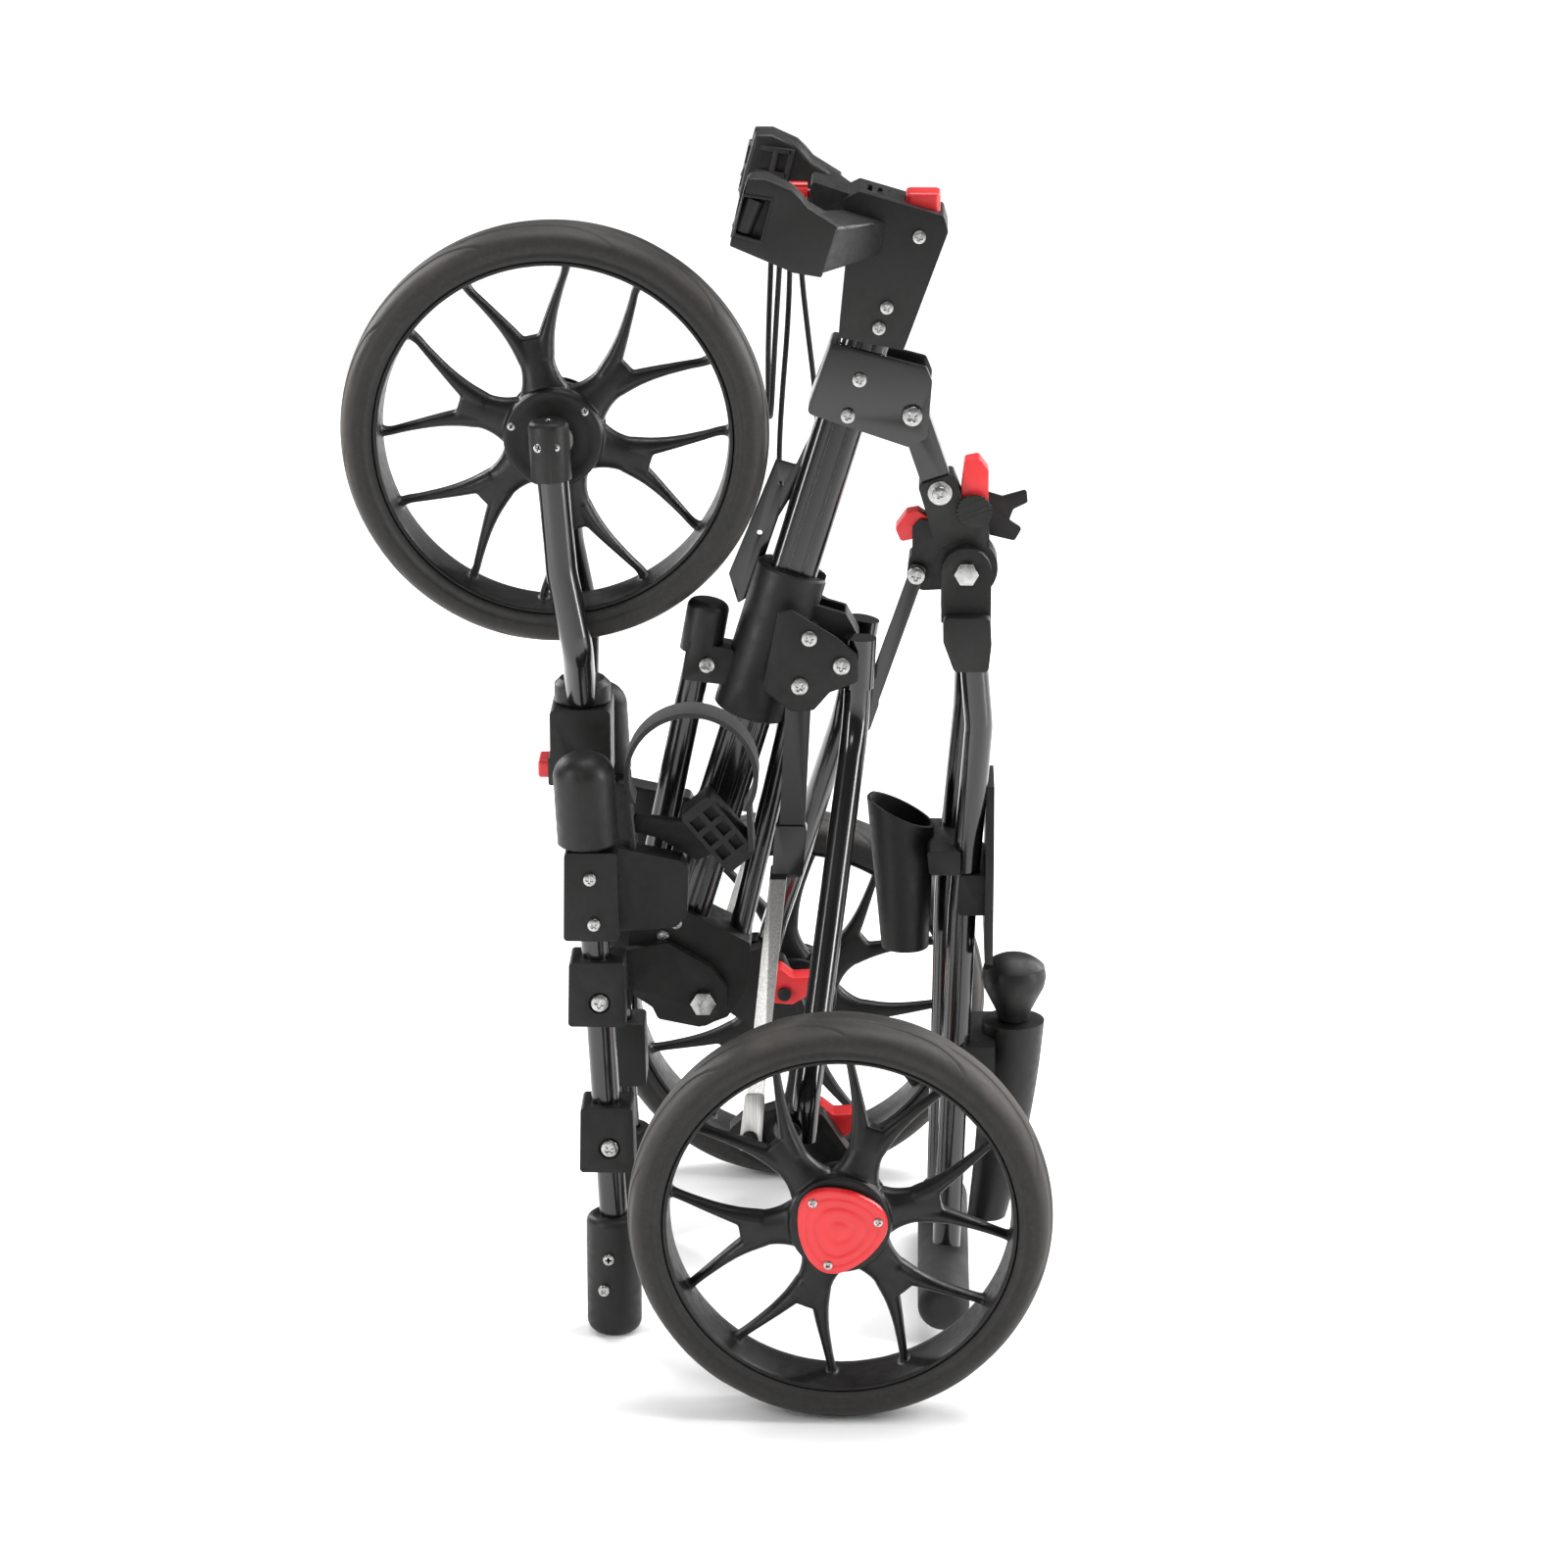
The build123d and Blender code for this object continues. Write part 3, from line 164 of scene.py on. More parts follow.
def tyre_mat():
    """Foam tyre rubber: dark grey, dusty scuffs on the tread, moulding lines round the wheel."""
    m, nt, b, co = mat_base("tyre_foam")
    big = tex_noise(nt, co, 16.0, 6, 0.65)
    speck = tex_noise(nt, co, 240.0, 5, 0.7)
    fine = tex_noise(nt, co, 1300.0, 2)
    base = ramp(nt, speck.outputs["Fac"], [(0.25, (0.0130, 0.0122, 0.0118)), (0.6, (0.0200, 0.0188, 0.0180)),
                                          (0.8, (0.0330, 0.0305, 0.0290))])
    att = nt.nodes.new("ShaderNodeAttribute"); att.attribute_name = "tread"
    dust = nt.nodes.new("ShaderNodeMath"); dust.operation = "MULTIPLY"
    mask = maprange(nt, big.outputs["Fac"], 0.44, 0.72, 0.10, 0.78)
    nt.links.new(att.outputs["Fac"], dust.inputs[0])
    nt.links.new(mask.outputs["Result"], dust.inputs[1])
    mix = nt.nodes.new("ShaderNodeMix"); mix.data_type = "RGBA"
    nt.links.new(dust.outputs["Value"], mix.inputs["Factor"])
    nt.links.new(base.outputs["Color"], mix.inputs["A"])
    mix.inputs["B"].default_value = (0.072, 0.064, 0.058, 1)
    nt.links.new(mix.outputs["Result"], b.inputs["Base Color"])
    b.inputs["Specular IOR Level"].default_value = 0.30
    rr = maprange(nt, big.outputs["Fac"], 0.3, 0.7, 0.50, 0.72)
    nt.links.new(rr.outputs["Result"], b.inputs["Roughness"])
    p = bump(nt, b, fine.outputs["Fac"], 0.30, 0.0003)
    bump(nt, b, speck.outputs["Fac"], 0.16, 0.0006, p)
    return m


def red_mat():
    m, nt, b, co = mat_base("red_plastic")
    big = tex_noise(nt, co, 22.0, 4)
    fine = tex_noise(nt, co, 1500.0, 2)
    r = ramp(nt, big.outputs["Fac"], [(0.3, (0.56, 0.012, 0.016)), (0.7, (0.70, 0.022, 0.026))])
    nt.links.new(r.outputs["Color"], b.inputs["Base Color"])
    rr = maprange(nt, big.outputs["Fac"], 0.3, 0.7, 0.34, 0.46)
    nt.links.new(rr.outputs["Result"], b.inputs["Roughness"])
    b.inputs["Coat Weight"].default_value = 0.12
    b.inputs["Coat Roughness"].default_value = 0.2
    bump(nt, b, fine.outputs["Fac"], 0.12, 0.0002)
    return m


def zinc_mat():
    m, nt, b, co = mat_base("zinc")
    big = tex_noise(nt, co, 260.0, 4)
    fine = tex_noise(nt, co, 2600.0, 2)
    r = ramp(nt, big.outputs["Fac"], [(0.3, (0.30, 0.30, 0.295)), (0.7, (0.52, 0.515, 0.505))])
    nt.links.new(r.outputs["Color"], b.inputs["Base Color"])
    b.inputs["Metallic"].default_value = 1.0
    rr = maprange(nt, big.outputs["Fac"], 0.3, 0.7, 0.20, 0.36)
    nt.links.new(rr.outputs["Result"], b.inputs["Roughness"])
    bump(nt, b, fine.outputs["Fac"], 0.08, 0.0001)
    return m


def link_mat():
    """The link bar: black painted tube above; below the socket a brushed light grey metallic strip, a painted
    reflection of the white backdrop on the tube's flat face.
    """
    m, nt, b, co = mat_base("link_bar")
    sep = nt.nodes.new("ShaderNodeSeparateXYZ")
    nt.links.new(co.outputs["Object"], sep.inputs["Vector"])
    # below Z 0.328 m the tube gets a light grey metallic colour: a painted reflection of the white backdrop on its flat
    # face
    reflection_strip = maprange(nt, sep.outputs["Z"], 0.3275, 0.3285, 1.0, 0.0)
    mp = nt.nodes.new("ShaderNodeMapping")
    mp.inputs["Scale"].default_value = (900, 900, 16)
    nt.links.new(co.outputs["Object"], mp.inputs["Vector"])
    grain = nt.nodes.new("ShaderNodeTexNoise"); grain.inputs["Scale"].default_value = 1.0
    nt.links.new(mp.outputs["Vector"], grain.inputs["Vector"])
    # light grey of the painted reflection, streaked by the brushed grain
    reflection_grey = ramp(nt, grain.outputs["Fac"], [(0.3, (0.34, 0.335, 0.33)), (0.7, (0.55, 0.545, 0.53))])
    mix = nt.nodes.new("ShaderNodeMix"); mix.data_type = "RGBA"
    nt.links.new(reflection_strip.outputs["Result"], mix.inputs["Factor"])
    mix.inputs["A"].default_value = (0.0055, 0.0053, 0.0052, 1)
    nt.links.new(reflection_grey.outputs["Color"], mix.inputs["B"])
    nt.links.new(mix.outputs["Result"], b.inputs["Base Color"])
    nt.links.new(reflection_strip.outputs["Result"], b.inputs["Metallic"])
    rr = maprange(nt, reflection_strip.outputs["Result"], 0, 1, 0.2, 0.34)
    nt.links.new(rr.outputs["Result"], b.inputs["Roughness"])
    bump(nt, b, grain.outputs["Fac"], 0.05, 0.0002)
    return m


def weave_mat(name, dark, light, s1, s2, rough=0.85, strength=0.5):
    """Woven tape or braid: two crossed sets of ribs."""
    m, nt, b, co = mat_base(name)
    waves = []
    for rot_ in ((0.0, 0.0, math.radians(45)), (0.0, 0.0, math.radians(-45))):
        mp = nt.nodes.new("ShaderNodeMapping")
        mp.inputs["Rotation"].default_value = (math.radians(35), math.radians(20), rot_[2])
        nt.links.new(co.outputs["Object"], mp.inputs["Vector"])
        w = nt.nodes.new("ShaderNodeTexWave")
        w.inputs["Scale"].default_value = s1
        w.inputs["Distortion"].default_value = 0.6
        w.inputs["Detail Scale"].default_value = s2
        nt.links.new(mp.outputs["Vector"], w.inputs["Vector"])
        waves.append(w)
    mx = nt.nodes.new("ShaderNodeMath"); mx.operation = "MULTIPLY"
    nt.links.new(waves[0].outputs["Fac"], mx.inputs[0])
    nt.links.new(waves[1].outputs["Fac"], mx.inputs[1])
    r = ramp(nt, mx.outputs["Value"], [(0.05, dark), (0.8, light)])
    nt.links.new(r.outputs["Color"], b.inputs["Base Color"])
    b.inputs["Roughness"].default_value = rough
    b.inputs["Sheen Weight"].default_value = 0.25
    b.inputs["Sheen Roughness"].default_value = 0.5
    bump(nt, b, mx.outputs["Value"], strength, 0.0004)
    return m


def foam_mat():
    m, nt, b, co = mat_base("grip_foam")
    v = nt.nodes.new("ShaderNodeTexVoronoi"); v.inputs["Scale"].default_value = 900.0
    nt.links.new(co.outputs["Object"], v.inputs["Vector"])
    big = tex_noise(nt, co, 40.0, 4)
    r = ramp(nt, big.outputs["Fac"], [(0.3, (0.0070, 0.0067, 0.0065)), (0.7, (0.0130, 0.0124, 0.0120))])
    nt.links.new(r.outputs["Color"], b.inputs["Base Color"])
    rr = maprange(nt, big.outputs["Fac"], 0.3, 0.7, 0.62, 0.82)
    nt.links.new(rr.outputs["Result"], b.inputs["Roughness"])
    bump(nt, b, v.outputs["Distance"], 0.4, 0.0004)
    return m


M = {
    "black_paint": paint(),
    "black_plastic": plastic(),
    "wheel_plastic": plastic("wheel_plastic", (0.0056, 0.0053, 0.0051), (0.0095, 0.0090, 0.0087), (0.34, 0.5), 0.16),
    "tyre_foam": tyre_mat(),
    "red_plastic": red_mat(),
    "zinc": zinc_mat(),
    "pad_rubber": plastic("pad_rubber", (0.0065, 0.0062, 0.0060), (0.011, 0.0105, 0.0102), (0.5, 0.68), 0.3),
    "grip_foam": foam_mat(),
    "webbing": weave_mat("webbing", (0.004, 0.004, 0.004), (0.026, 0.0255, 0.025), 420.0, 2.0),
    "cord": weave_mat("cord", (0.004, 0.004, 0.004), (0.03, 0.0295, 0.029), 640.0, 2.0),
    "link": link_mat(),
}
SLOT = {s["node"]: s["material_slot"] for s in frame["record"]["subparts"]}


def material_of(node):
    return M["link"] if node.startswith("link_l") or node.startswith("link_r") else M[SLOT[node]]


# ------------------------------------------------------------------ mesh helpers


def add_object(name, verts, faces, mat, body, smooth_angle=35.0, replaces=(), slot=None, recalc=True):
    me = bpy.data.meshes.new(name)
    me.from_pydata([tuple(v) for v in verts], [], [tuple(f) for f in faces])
    me.update()
    if recalc:
        bm = bmesh.new(); bm.from_mesh(me)
        bmesh.ops.recalc_face_normals(bm, faces=bm.faces)
        bm.to_mesh(me); bm.free()
    return add_mesh(name, me, mat, body, smooth_angle, replaces)


def add_mesh(name, me, mat, body, smooth_angle=35.0, replaces=()):
    me.materials.clear()
    me.materials.append(mat)
    me.shade_smooth()
    if smooth_angle < 180:
        me.set_sharp_from_angle(angle=math.radians(smooth_angle))
    o = bpy.data.objects.new(name, me)
    bpy.context.scene.collection.objects.link(o)
    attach(o, body)
    if replaces:
        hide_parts(*replaces)
    return o


def body_name(node):
    return NODES[node]["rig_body"]


def skin(node, width=0.8, seg=3, angle=30.0, smooth_angle=38.0):
    """A piece that stands for a CAD node, with its sharp edges rounded off in the mesh."""
    me = NODES[node].data.copy()
    me.name = node + "_shell"
    bm = bmesh.new(); bm.from_mesh(me)
    bmesh.ops.remove_doubles(bm, verts=bm.verts, dist=2e-6)
    bmesh.ops.dissolve_limit(bm, angle_limit=math.radians(0.6), verts=bm.verts, edges=bm.edges)
    # each solid is bevelled by itself, so that small ones don't limit the large ones
    bm.verts.ensure_lookup_table()
    seen, groups = set(), []
    for v in bm.verts:
        if v.index in seen:
            continue
        stack, comp = [v], []
        seen.add(v.index)
        while stack:
            a = stack.pop(); comp.append(a)
            for e in a.link_edges:
                b2 = e.other_vert(a)
                if b2.index not in seen:
                    seen.add(b2.index); stack.append(b2)
        groups.append(comp)
    for comp in groups:
        edges = set()
        for v in comp:
            for e in v.link_edges:
                if len(e.link_faces) == 2 and e.calc_face_angle(0) > math.radians(angle):
                    edges.add(e)
        if edges:
            bmesh.ops.bevel(bm, geom=list(edges), offset=width * mm, offset_type="OFFSET", segments=seg, profile=0.5,
                            affect="EDGES", clamp_overlap=True, material=-1)
    bmesh.ops.recalc_face_normals(bm, faces=bm.faces)
    bm.to_mesh(me); bm.free()
    if me.has_custom_normals:
        me.attributes.remove(me.attributes["custom_normal"]) if "custom_normal" in me.attributes else None
    return add_mesh(node + "_shell", me, material_of(node), body_name(node), smooth_angle, (node,))


def split_off(o, name, test, mat):
    """Move the faces of a piece that pass the test to a piece of their own, in another material."""
    other = o.data.copy(); other.name = name
    for me, keep_ in ((o.data, False), (other, True)):
        bm = bmesh.new(); bm.from_mesh(me)
        bad = [f for f in bm.faces if test(f.calc_center_median()) != keep_]
        bmesh.ops.delete(bm, geom=bad, context="FACES")
        bm.to_mesh(me); bm.free()
    return add_mesh(name, other, mat, o["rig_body"] if "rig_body" in o else body_name("link_bolts"), 30, ())


def remeshed(me, voxel, smooth=3):
    """Voxel remesh and smooth a mesh, in metres."""
    o = bpy.data.objects.new("tmp", me)
    bpy.context.scene.collection.objects.link(o)
    r = o.modifiers.new("r", "REMESH"); r.mode = "VOXEL"; r.voxel_size = voxel; r.use_smooth_shade = True
    if smooth:
        s = o.modifiers.new("s", "SMOOTH"); s.factor = 0.5; s.iterations = smooth
    dg = bpy.context.evaluated_depsgraph_get()
    out = bpy.data.meshes.new_from_object(o.evaluated_get(dg))
    bpy.data.objects.remove(o)
    return out


# ------------------------------------------------------------------ stage and light
floor_me = bpy.data.meshes.new("floor")
floor_me.from_pydata([(-30, -30, 0), (30, -30, 0), (30, 30, 0), (-30, 30, 0)], [], [(0, 1, 2, 3)])
floor = bpy.data.objects.new("floor", floor_me)
bpy.context.scene.collection.objects.link(floor)
fm, fnt, fb, fco = mat_base("floor")
fb.inputs["Base Color"].default_value = (0.93, 0.93, 0.93, 1)
fb.inputs["Roughness"].default_value = 0.9
fb.inputs["Specular IOR Level"].default_value = 0.1
floor_me.materials.append(fm)

world = bpy.data.worlds.new("world")
world.use_nodes = True
world.node_tree.nodes["Background"].inputs["Color"].default_value = (1, 1, 1, 1)
world.node_tree.nodes["Background"].inputs["Strength"].default_value = 0.14
bpy.context.scene.world = world


def area(name, loc, target, sx, sy, power):
    d = bpy.data.lights.new(name, "AREA")
    d.shape = "RECTANGLE"; d.size = sx; d.size_y = sy; d.energy = power
    o = bpy.data.objects.new(name, d)
    o.location = loc
    o.rotation_euler = (Vector(target) - Vector(loc)).to_track_quat("-Z", "Y").to_euler()
    bpy.context.scene.collection.objects.link(o)
    return o


sun = bpy.data.lights.new("top", "SUN")
sun.energy = 3.5
sun.angle = math.radians(50)
sun_o = bpy.data.objects.new("top", sun)
sun_o.rotation_euler = (math.radians(-14), math.radians(8), 0)
bpy.context.scene.collection.objects.link(sun_o)
area("left", (-2.2, -1.4, 1.2), (0, 0, 0.45), 0.40, 2.0, 42)
area("right", (2.3, -0.7, 1.1), (0, 0, 0.45), 0.36, 2.0, 46)
area("back_left", (-1.8, 1.8, 1.5), (0, 0, 0.45), 0.6, 1.6, 50)
area("back_right", (1.9, 1.7, 1.4), (0, 0, 0.45), 0.6, 1.6, 50)
area("front", (-0.8, -3.0, 2.4), (0, 0, 0.4), 1.2, 0.5, 14)

# ------------------------------------------------------------------ cords


def cord_curve(name, pts, dia, node, loops=()):
    cu = bpy.data.curves.new(name, "CURVE")
    cu.dimensions = "3D"
    sp = cu.splines.new("NURBS")
    sp.points.add(len(pts) - 1)
    for i, p in enumerate(pts):
        sp.points[i].co = (p[0] * mm, p[1] * mm, p[2] * mm, 1.0)
    sp.order_u = 3
    sp.use_endpoint_u = True
    cu.bevel_depth = dia / 2 * mm
    cu.bevel_resolution = 5
    cu.resolution_u = 16
    cu.use_fill_caps = True
    o = bpy.data.objects.new(name, cu)
    cu.materials.append(M["cord"])
    bpy.context.scene.collection.objects.link(o)
    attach(o, "frame")
    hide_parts(node)
    return o


cord_curve("cord_short", [(50.0, 88.0, 783.0), (48.6, 89.5, 745.0), (47.0, 88.6, 700.0), (46.4, 89.4, 668.0),
                          (46.8, 89.0, 641.9), (48.0, 75.0, 633.8), (49.4, 61.0, 641.9), (50.8, 60.6, 668.0),
                          (52.6, 62.4, 702.0), (55.2, 66.0, 746.0), (57.0, 69.6, 781.0)], 4.0,
           "cradle_cord_one")
cord_curve("cord_long", [(62.0, 86.0, 781.0), (62.4, 84.6, 744.0), (60.6, 81.0, 698.0), (57.0, 77.6, 654.0),
                         (54.6, 74.6, 612.0), (55.0, 72.4, 581.9), (69.0, 69.6, 573.8), (83.0, 67.4, 581.9),
                         (83.4, 68.0, 612.0), (80.6, 70.6, 654.0), (75.0, 74.4, 698.0), (70.0, 77.0, 742.0),
                         (68.0, 77.4, 779.0)], 4.0, "cradle_cord_two")
# ==== MORE PIECES ====
# ------------------------------------------------------------------ wheels


def ring_grid(prof, nang, fn=None):
    """Vertices and quads of a closed profile (r, d) swept round the axle; fn may move a point."""
    ang = np.linspace(0, 2 * math.pi, nang, endpoint=False)
    pr_ = np.array(prof, float)
    r = np.repeat(pr_[None, :, 0], nang, 0)
    d = np.repeat(pr_[None, :, 1], nang, 0)
    a = np.repeat(ang[:, None], len(prof), 1)
    if fn is not None:
        r, d = fn(r, d, a)
    v = np.stack([r * np.cos(a), r * np.sin(a), d], -1).reshape(-1, 3)
    m_ = len(prof)
    faces = []
    for i in range(nang):
        j = (i + 1) % nang
        for k in range(m_):
            l = (k + 1) % m_
            faces.append((i * m_ + k, i * m_ + l, j * m_ + l, j * m_ + k))
    return v, faces


def dense(points, step):
    """A closed profile with points no further apart than step."""
    out = []
    for i, p in enumerate(points):
        q = points[(i + 1) % len(points)]
        n = max(1, int(math.ceil(math.dist(p, q) / (step if min(p[0], q[0]) > 130 else 2.6))))
        for k in range(n):
            out.append((p[0] + (q[0] - p[0]) * k / n, p[1] + (q[1] - p[1]) * k / n))
    return out


def smooth_profile(points, rounds=2):
    """Corner cutting of a closed profile, keeping it near its points."""
    pts = list(points)
    for _ in range(rounds):
        new = []
        for i, p in enumerate(pts):
            q = pts[(i + 1) % len(pts)]
            new.append((p[0] * 0.75 + q[0] * 0.25, p[1] * 0.75 + q[1] * 0.25))
            new.append((p[0] * 0.25 + q[0] * 0.75, p[1] * 0.25 + q[1] * 0.75))
        pts = new
    return pts


SWOOSH = 10


def groove(s, t, side):
    """Depth share of the swept grooves at lateral place s and turn t (in pitches)."""
    total = np.zeros_like(s)
    for shift in (-1, 0, 1):
        u = (t - np.floor(t)) + shift              # along the groove, 0 to 1.32
        u = u / 1.32
        ok = (u > 0) & (u < 1)
        uc = np.clip(u, 0, 1)
        path = 5.5 + 7.5 * uc + 12.0 * np.clip((uc - 0.68) / 0.32, 0, 1) ** 2
        slope = (7.5 + 24.0 * np.clip((uc - 0.68) / 0.32, 0, 1) / 0.32) / (1.32 * 146 * 2 * math.pi / SWOOSH)
        dist = np.abs(s * side - path) / np.sqrt(1 + slope ** 2)
        fade = np.clip(uc / 0.12, 0, 1) * np.clip((1 - uc) / 0.06, 0, 1)
        g = np.exp(-(dist / 0.95) ** 2) * fade * ok
        # the pad on the outer side of the groove stands a little lower
        pad = np.clip((s * side - path) / 3.0, 0, 1) * np.clip((path + 9 - s * side) / 5.0, 0, 1) * 0.28 * fade * ok
        total = np.maximum(total, np.maximum(g, pad))
    return total


def tyre_mesh(R, seat, W, tag):
    h = W / 2
    k = R - 146.0
    half = [(seat, h - 4.0), (seat + 0.2, h - 1.2), (seat + 1.6, h - 0.1), (seat + 3.6, h), (seat + 5.4, h - 0.9),
            (seat + 7.0, h - 0.9), (seat + 8.6, h - 0.1), (R - 12.0, h), (R - 8.6, h - 0.9), (R - 5.6, h - 3.4),
            (R - 3.4, h - 7.0), (R - 1.7, h - 12.0), (R - 0.6, h - 17.5), (R, 3.0)]
    pts = half + [(r, -d) for r, d in reversed(half)]
    prof = dense(smooth_profile(pts, 1), 0.85)

    def shape(r, d, a):
        t = a / (2 * math.pi) * SWOOSH
        g = groove(d, -t, 1.0) + groove(d, -t + 0.5, -1.0)
        w = np.clip((r - (R - 13.0)) / 5.0, 0, 1)
        return r - 1.25 * g * w, d * (1 - 0.012 * g * w)

    v, f = ring_grid(prof, 460, shape)
    me = bpy.data.meshes.new("tyre_" + tag)
    me.from_pydata([tuple(x) for x in v * mm], [], f)
    me.update()
    att = me.attributes.new("tread", "FLOAT", "POINT")
    rr = np.hypot(v[:, 0], v[:, 1])
    att.data.foreach_set("value", np.clip((rr - (R - 11.0)) / 6.0, 0, 1).astype(np.float32))
    return me


def superloop(c, u, w, hw, hd, n=20, ridge=0.0):
    """One closed section: centre c, direction u (across), half sizes, with a raised ridge on the face; w (depth) is not
    used.
    """
    out = []
    for i in range(n):
        a = 2 * math.pi * i / n
        ca, sa = math.cos(a), math.sin(a)
        e = 0.62
        x = math.copysign(abs(ca) ** e, ca) * hw
        y = math.copysign(abs(sa) ** e, sa) * hd
        if sa > 0:
            x *= 1.0 - 0.34 * sa ** 1.5      # the face side is narrower than the back
            y += ridge * sa ** 2 * (1 - abs(ca)) ** 0.5
        out.append((c[0] + u[0] * x, c[1] + u[1] * x, c[2] + y))
    return out


def loft(sections, verts, faces):
    base = len(verts)
    n = len(sections[0])
    for s in sections:
        verts.extend(s)
    for i in range(len(sections) - 1):
        for k in range(n):
            l = (k + 1) % n
            a, b = base + i * n, base + (i + 1) * n
            faces.append((a + k, a + l, b + l, b + k))
    faces.append(tuple(base + k for k in reversed(range(n))))
    last = base + (len(sections) - 1) * n
    faces.append(tuple(last + k for k in range(n)))


def spline_pts(rows, n):
    """Catmull-Rom through rows of numbers."""
    rows = [np.array(r, float) for r in rows]
    ext = [2 * rows[0] - rows[1]] + rows + [2 * rows[-1] - rows[-2]]
    out = []
    seg = len(rows) - 1
    for i in range(n + 1):
        t = i / n * seg
        k = min(int(t), seg - 1)
        f = t - k
        p0, p1, p2, p3 = ext[k], ext[k + 1], ext[k + 2], ext[k + 3]
        out.append(0.5 * ((2 * p1) + (p2 - p0) * f + (2 * p0 - 5 * p1 + 4 * p2 - p3) * f * f
                          + (3 * p1 - p0 - 3 * p2 + p3) * f ** 3))
    return out


def wheel_mesh(rim_in, seat, tag, disc_r, disc_top):
    """Barrel, hub and six forked spokes in one moulded piece; d is the axle direction, + towards the hub's face."""
    verts, faces = [], []

    def ring(prof, nang):
        v, f = ring_grid(prof, nang)
        b0 = len(verts)
        verts.extend([tuple(x) for x in v])
        faces.extend([tuple(b0 + i for i in q) for q in f])

    e = rim_in
    barrel = [(seat - 0.1, 21.9), (seat - 0.6, 23.2), (e + 1.5, 23.4), (e + 0.2, 22.2), (e - 0.2, 19.0), (e - 0.9, 8.0),
              (e - 1.3, -4.0), (e - 0.9, -15.0), (e - 0.2, -19.0), (e + 0.2, -22.2), (e + 1.5, -23.4), (seat - 0.6, -23.2),
              (seat - 0.1, -21.9)]
    ring(barrel, 220)
    hub = [(6.9, 19.5), (20.0, 20.0), (disc_r - 1.0, disc_top - 5.0), (disc_r, disc_top - 6.5), (disc_r, 11.0), (disc_r - 3.0, 8.0),
           (22.0, 3.0), (20.5, -6.0), (23.0, -10.0), (32.5, -12.5), (33.5, -14.0), (33.5, -17.0), (32.0, -18.5), (20.0, -20.0),
           (19.0, -23.5), (6.9, -23.5)]
    ring(hub, 120)
    k = rim_in - 118.5
    stem = [(20, 17.0, 11.0, 3.5), (30, 17.5, 11.0, 3.5), (38, 14.2, 10.0, 3.0), (47, 12.4, 9.2, 2.2), (57, 12.8, 8.4, 1.5),
            (66, 14.0, 7.4, 0.6), (70, 13.6, 6.6, 0.2)]
    prong = [(54, 6.4, 6.6, 7.6, 1.6), (64, 8.9, 6.4, 7.2, 0.8), (73, 12.8, 5.3, 6.6, 0.0), (83, 18.0, 4.2, 6.0, -0.8),
             (93, 23.8, 3.5, 5.5, -1.6), (103, 29.9, 3.0, 5.3, -2.4), (110, 34.3, 3.0, 5.6, -3.0),
             (114.5 + k, 37.3, 4.2, 6.6, -3.2), (116.5 + k, 38.6, 6.4, 8.0, -3.4)]
    for i in range(6):
        a = math.radians(60 * i)
        ax, wx = (math.cos(a), math.sin(a)), (-math.sin(a), math.cos(a))
        secs = []
        for s in spline_pts(stem, 14):
            c = (ax[0] * s[0], ax[1] * s[0], s[3])
            secs.append(superloop(c, wx, 1, s[1], s[2], 24, 0.0))
        loft(secs, verts, faces)
        for sg in (-1, 1):
            rows = spline_pts(prong, 22)
            secs = []
            for j, s in enumerate(rows):
                n0, n1 = rows[max(0, j - 1)], rows[min(len(rows) - 1, j + 1)]
                t = np.array([n1[0] - n0[0], (n1[1] - n0[1]) * sg]); t = t / np.linalg.norm(t)
                nrm = (-t[1], t[0])
                u = (ax[0] * nrm[0] + wx[0] * nrm[1], ax[1] * nrm[0] + wx[1] * nrm[1])
                c = (ax[0] * s[0] + wx[0] * s[1] * sg, ax[1] * s[0] + wx[1] * s[1] * sg, s[4])
                secs.append(superloop(c, u, 1, s[2], s[3], 20, 0.9))
            loft(secs, verts, faces)
    me = bpy.data.meshes.new("wheel_raw_" + tag)
    me.from_pydata([(x * mm, y * mm, z * mm) for x, y, z in verts], [], faces)
    bm = bmesh.new(); bm.from_mesh(me)
    bmesh.ops.recalc_face_normals(bm, faces=bm.faces)
    bm.to_mesh(me); bm.free()
    out = remeshed(me, 0.0011, 5)
    out.name = "wheel_" + tag
    return out


def seat_on_axle(me, centre, face, first):
    """A copy of a wheel-space mesh, turned and set on its axle; face is -1 or +1 along Y."""
    c = me.copy()
    a = math.radians(first)
    rot_ = Matrix(((math.cos(a), -math.sin(a), 0), (math.sin(a), math.cos(a), 0), (0, 0, 1))).to_4x4()
    # wheel space (u, w, d) -> model (x, z, y = face * d)
    to = Matrix(((1, 0, 0, 0), (0, 0, face, 0), (0, 1, 0, 0), (0, 0, 0, 1)))
    m_ = Matrix.Translation(Vector(centre) * mm) @ to @ rot_
    c.transform(m_)
    if m_.determinant() < 0:
        c.flip_normals()
    return c


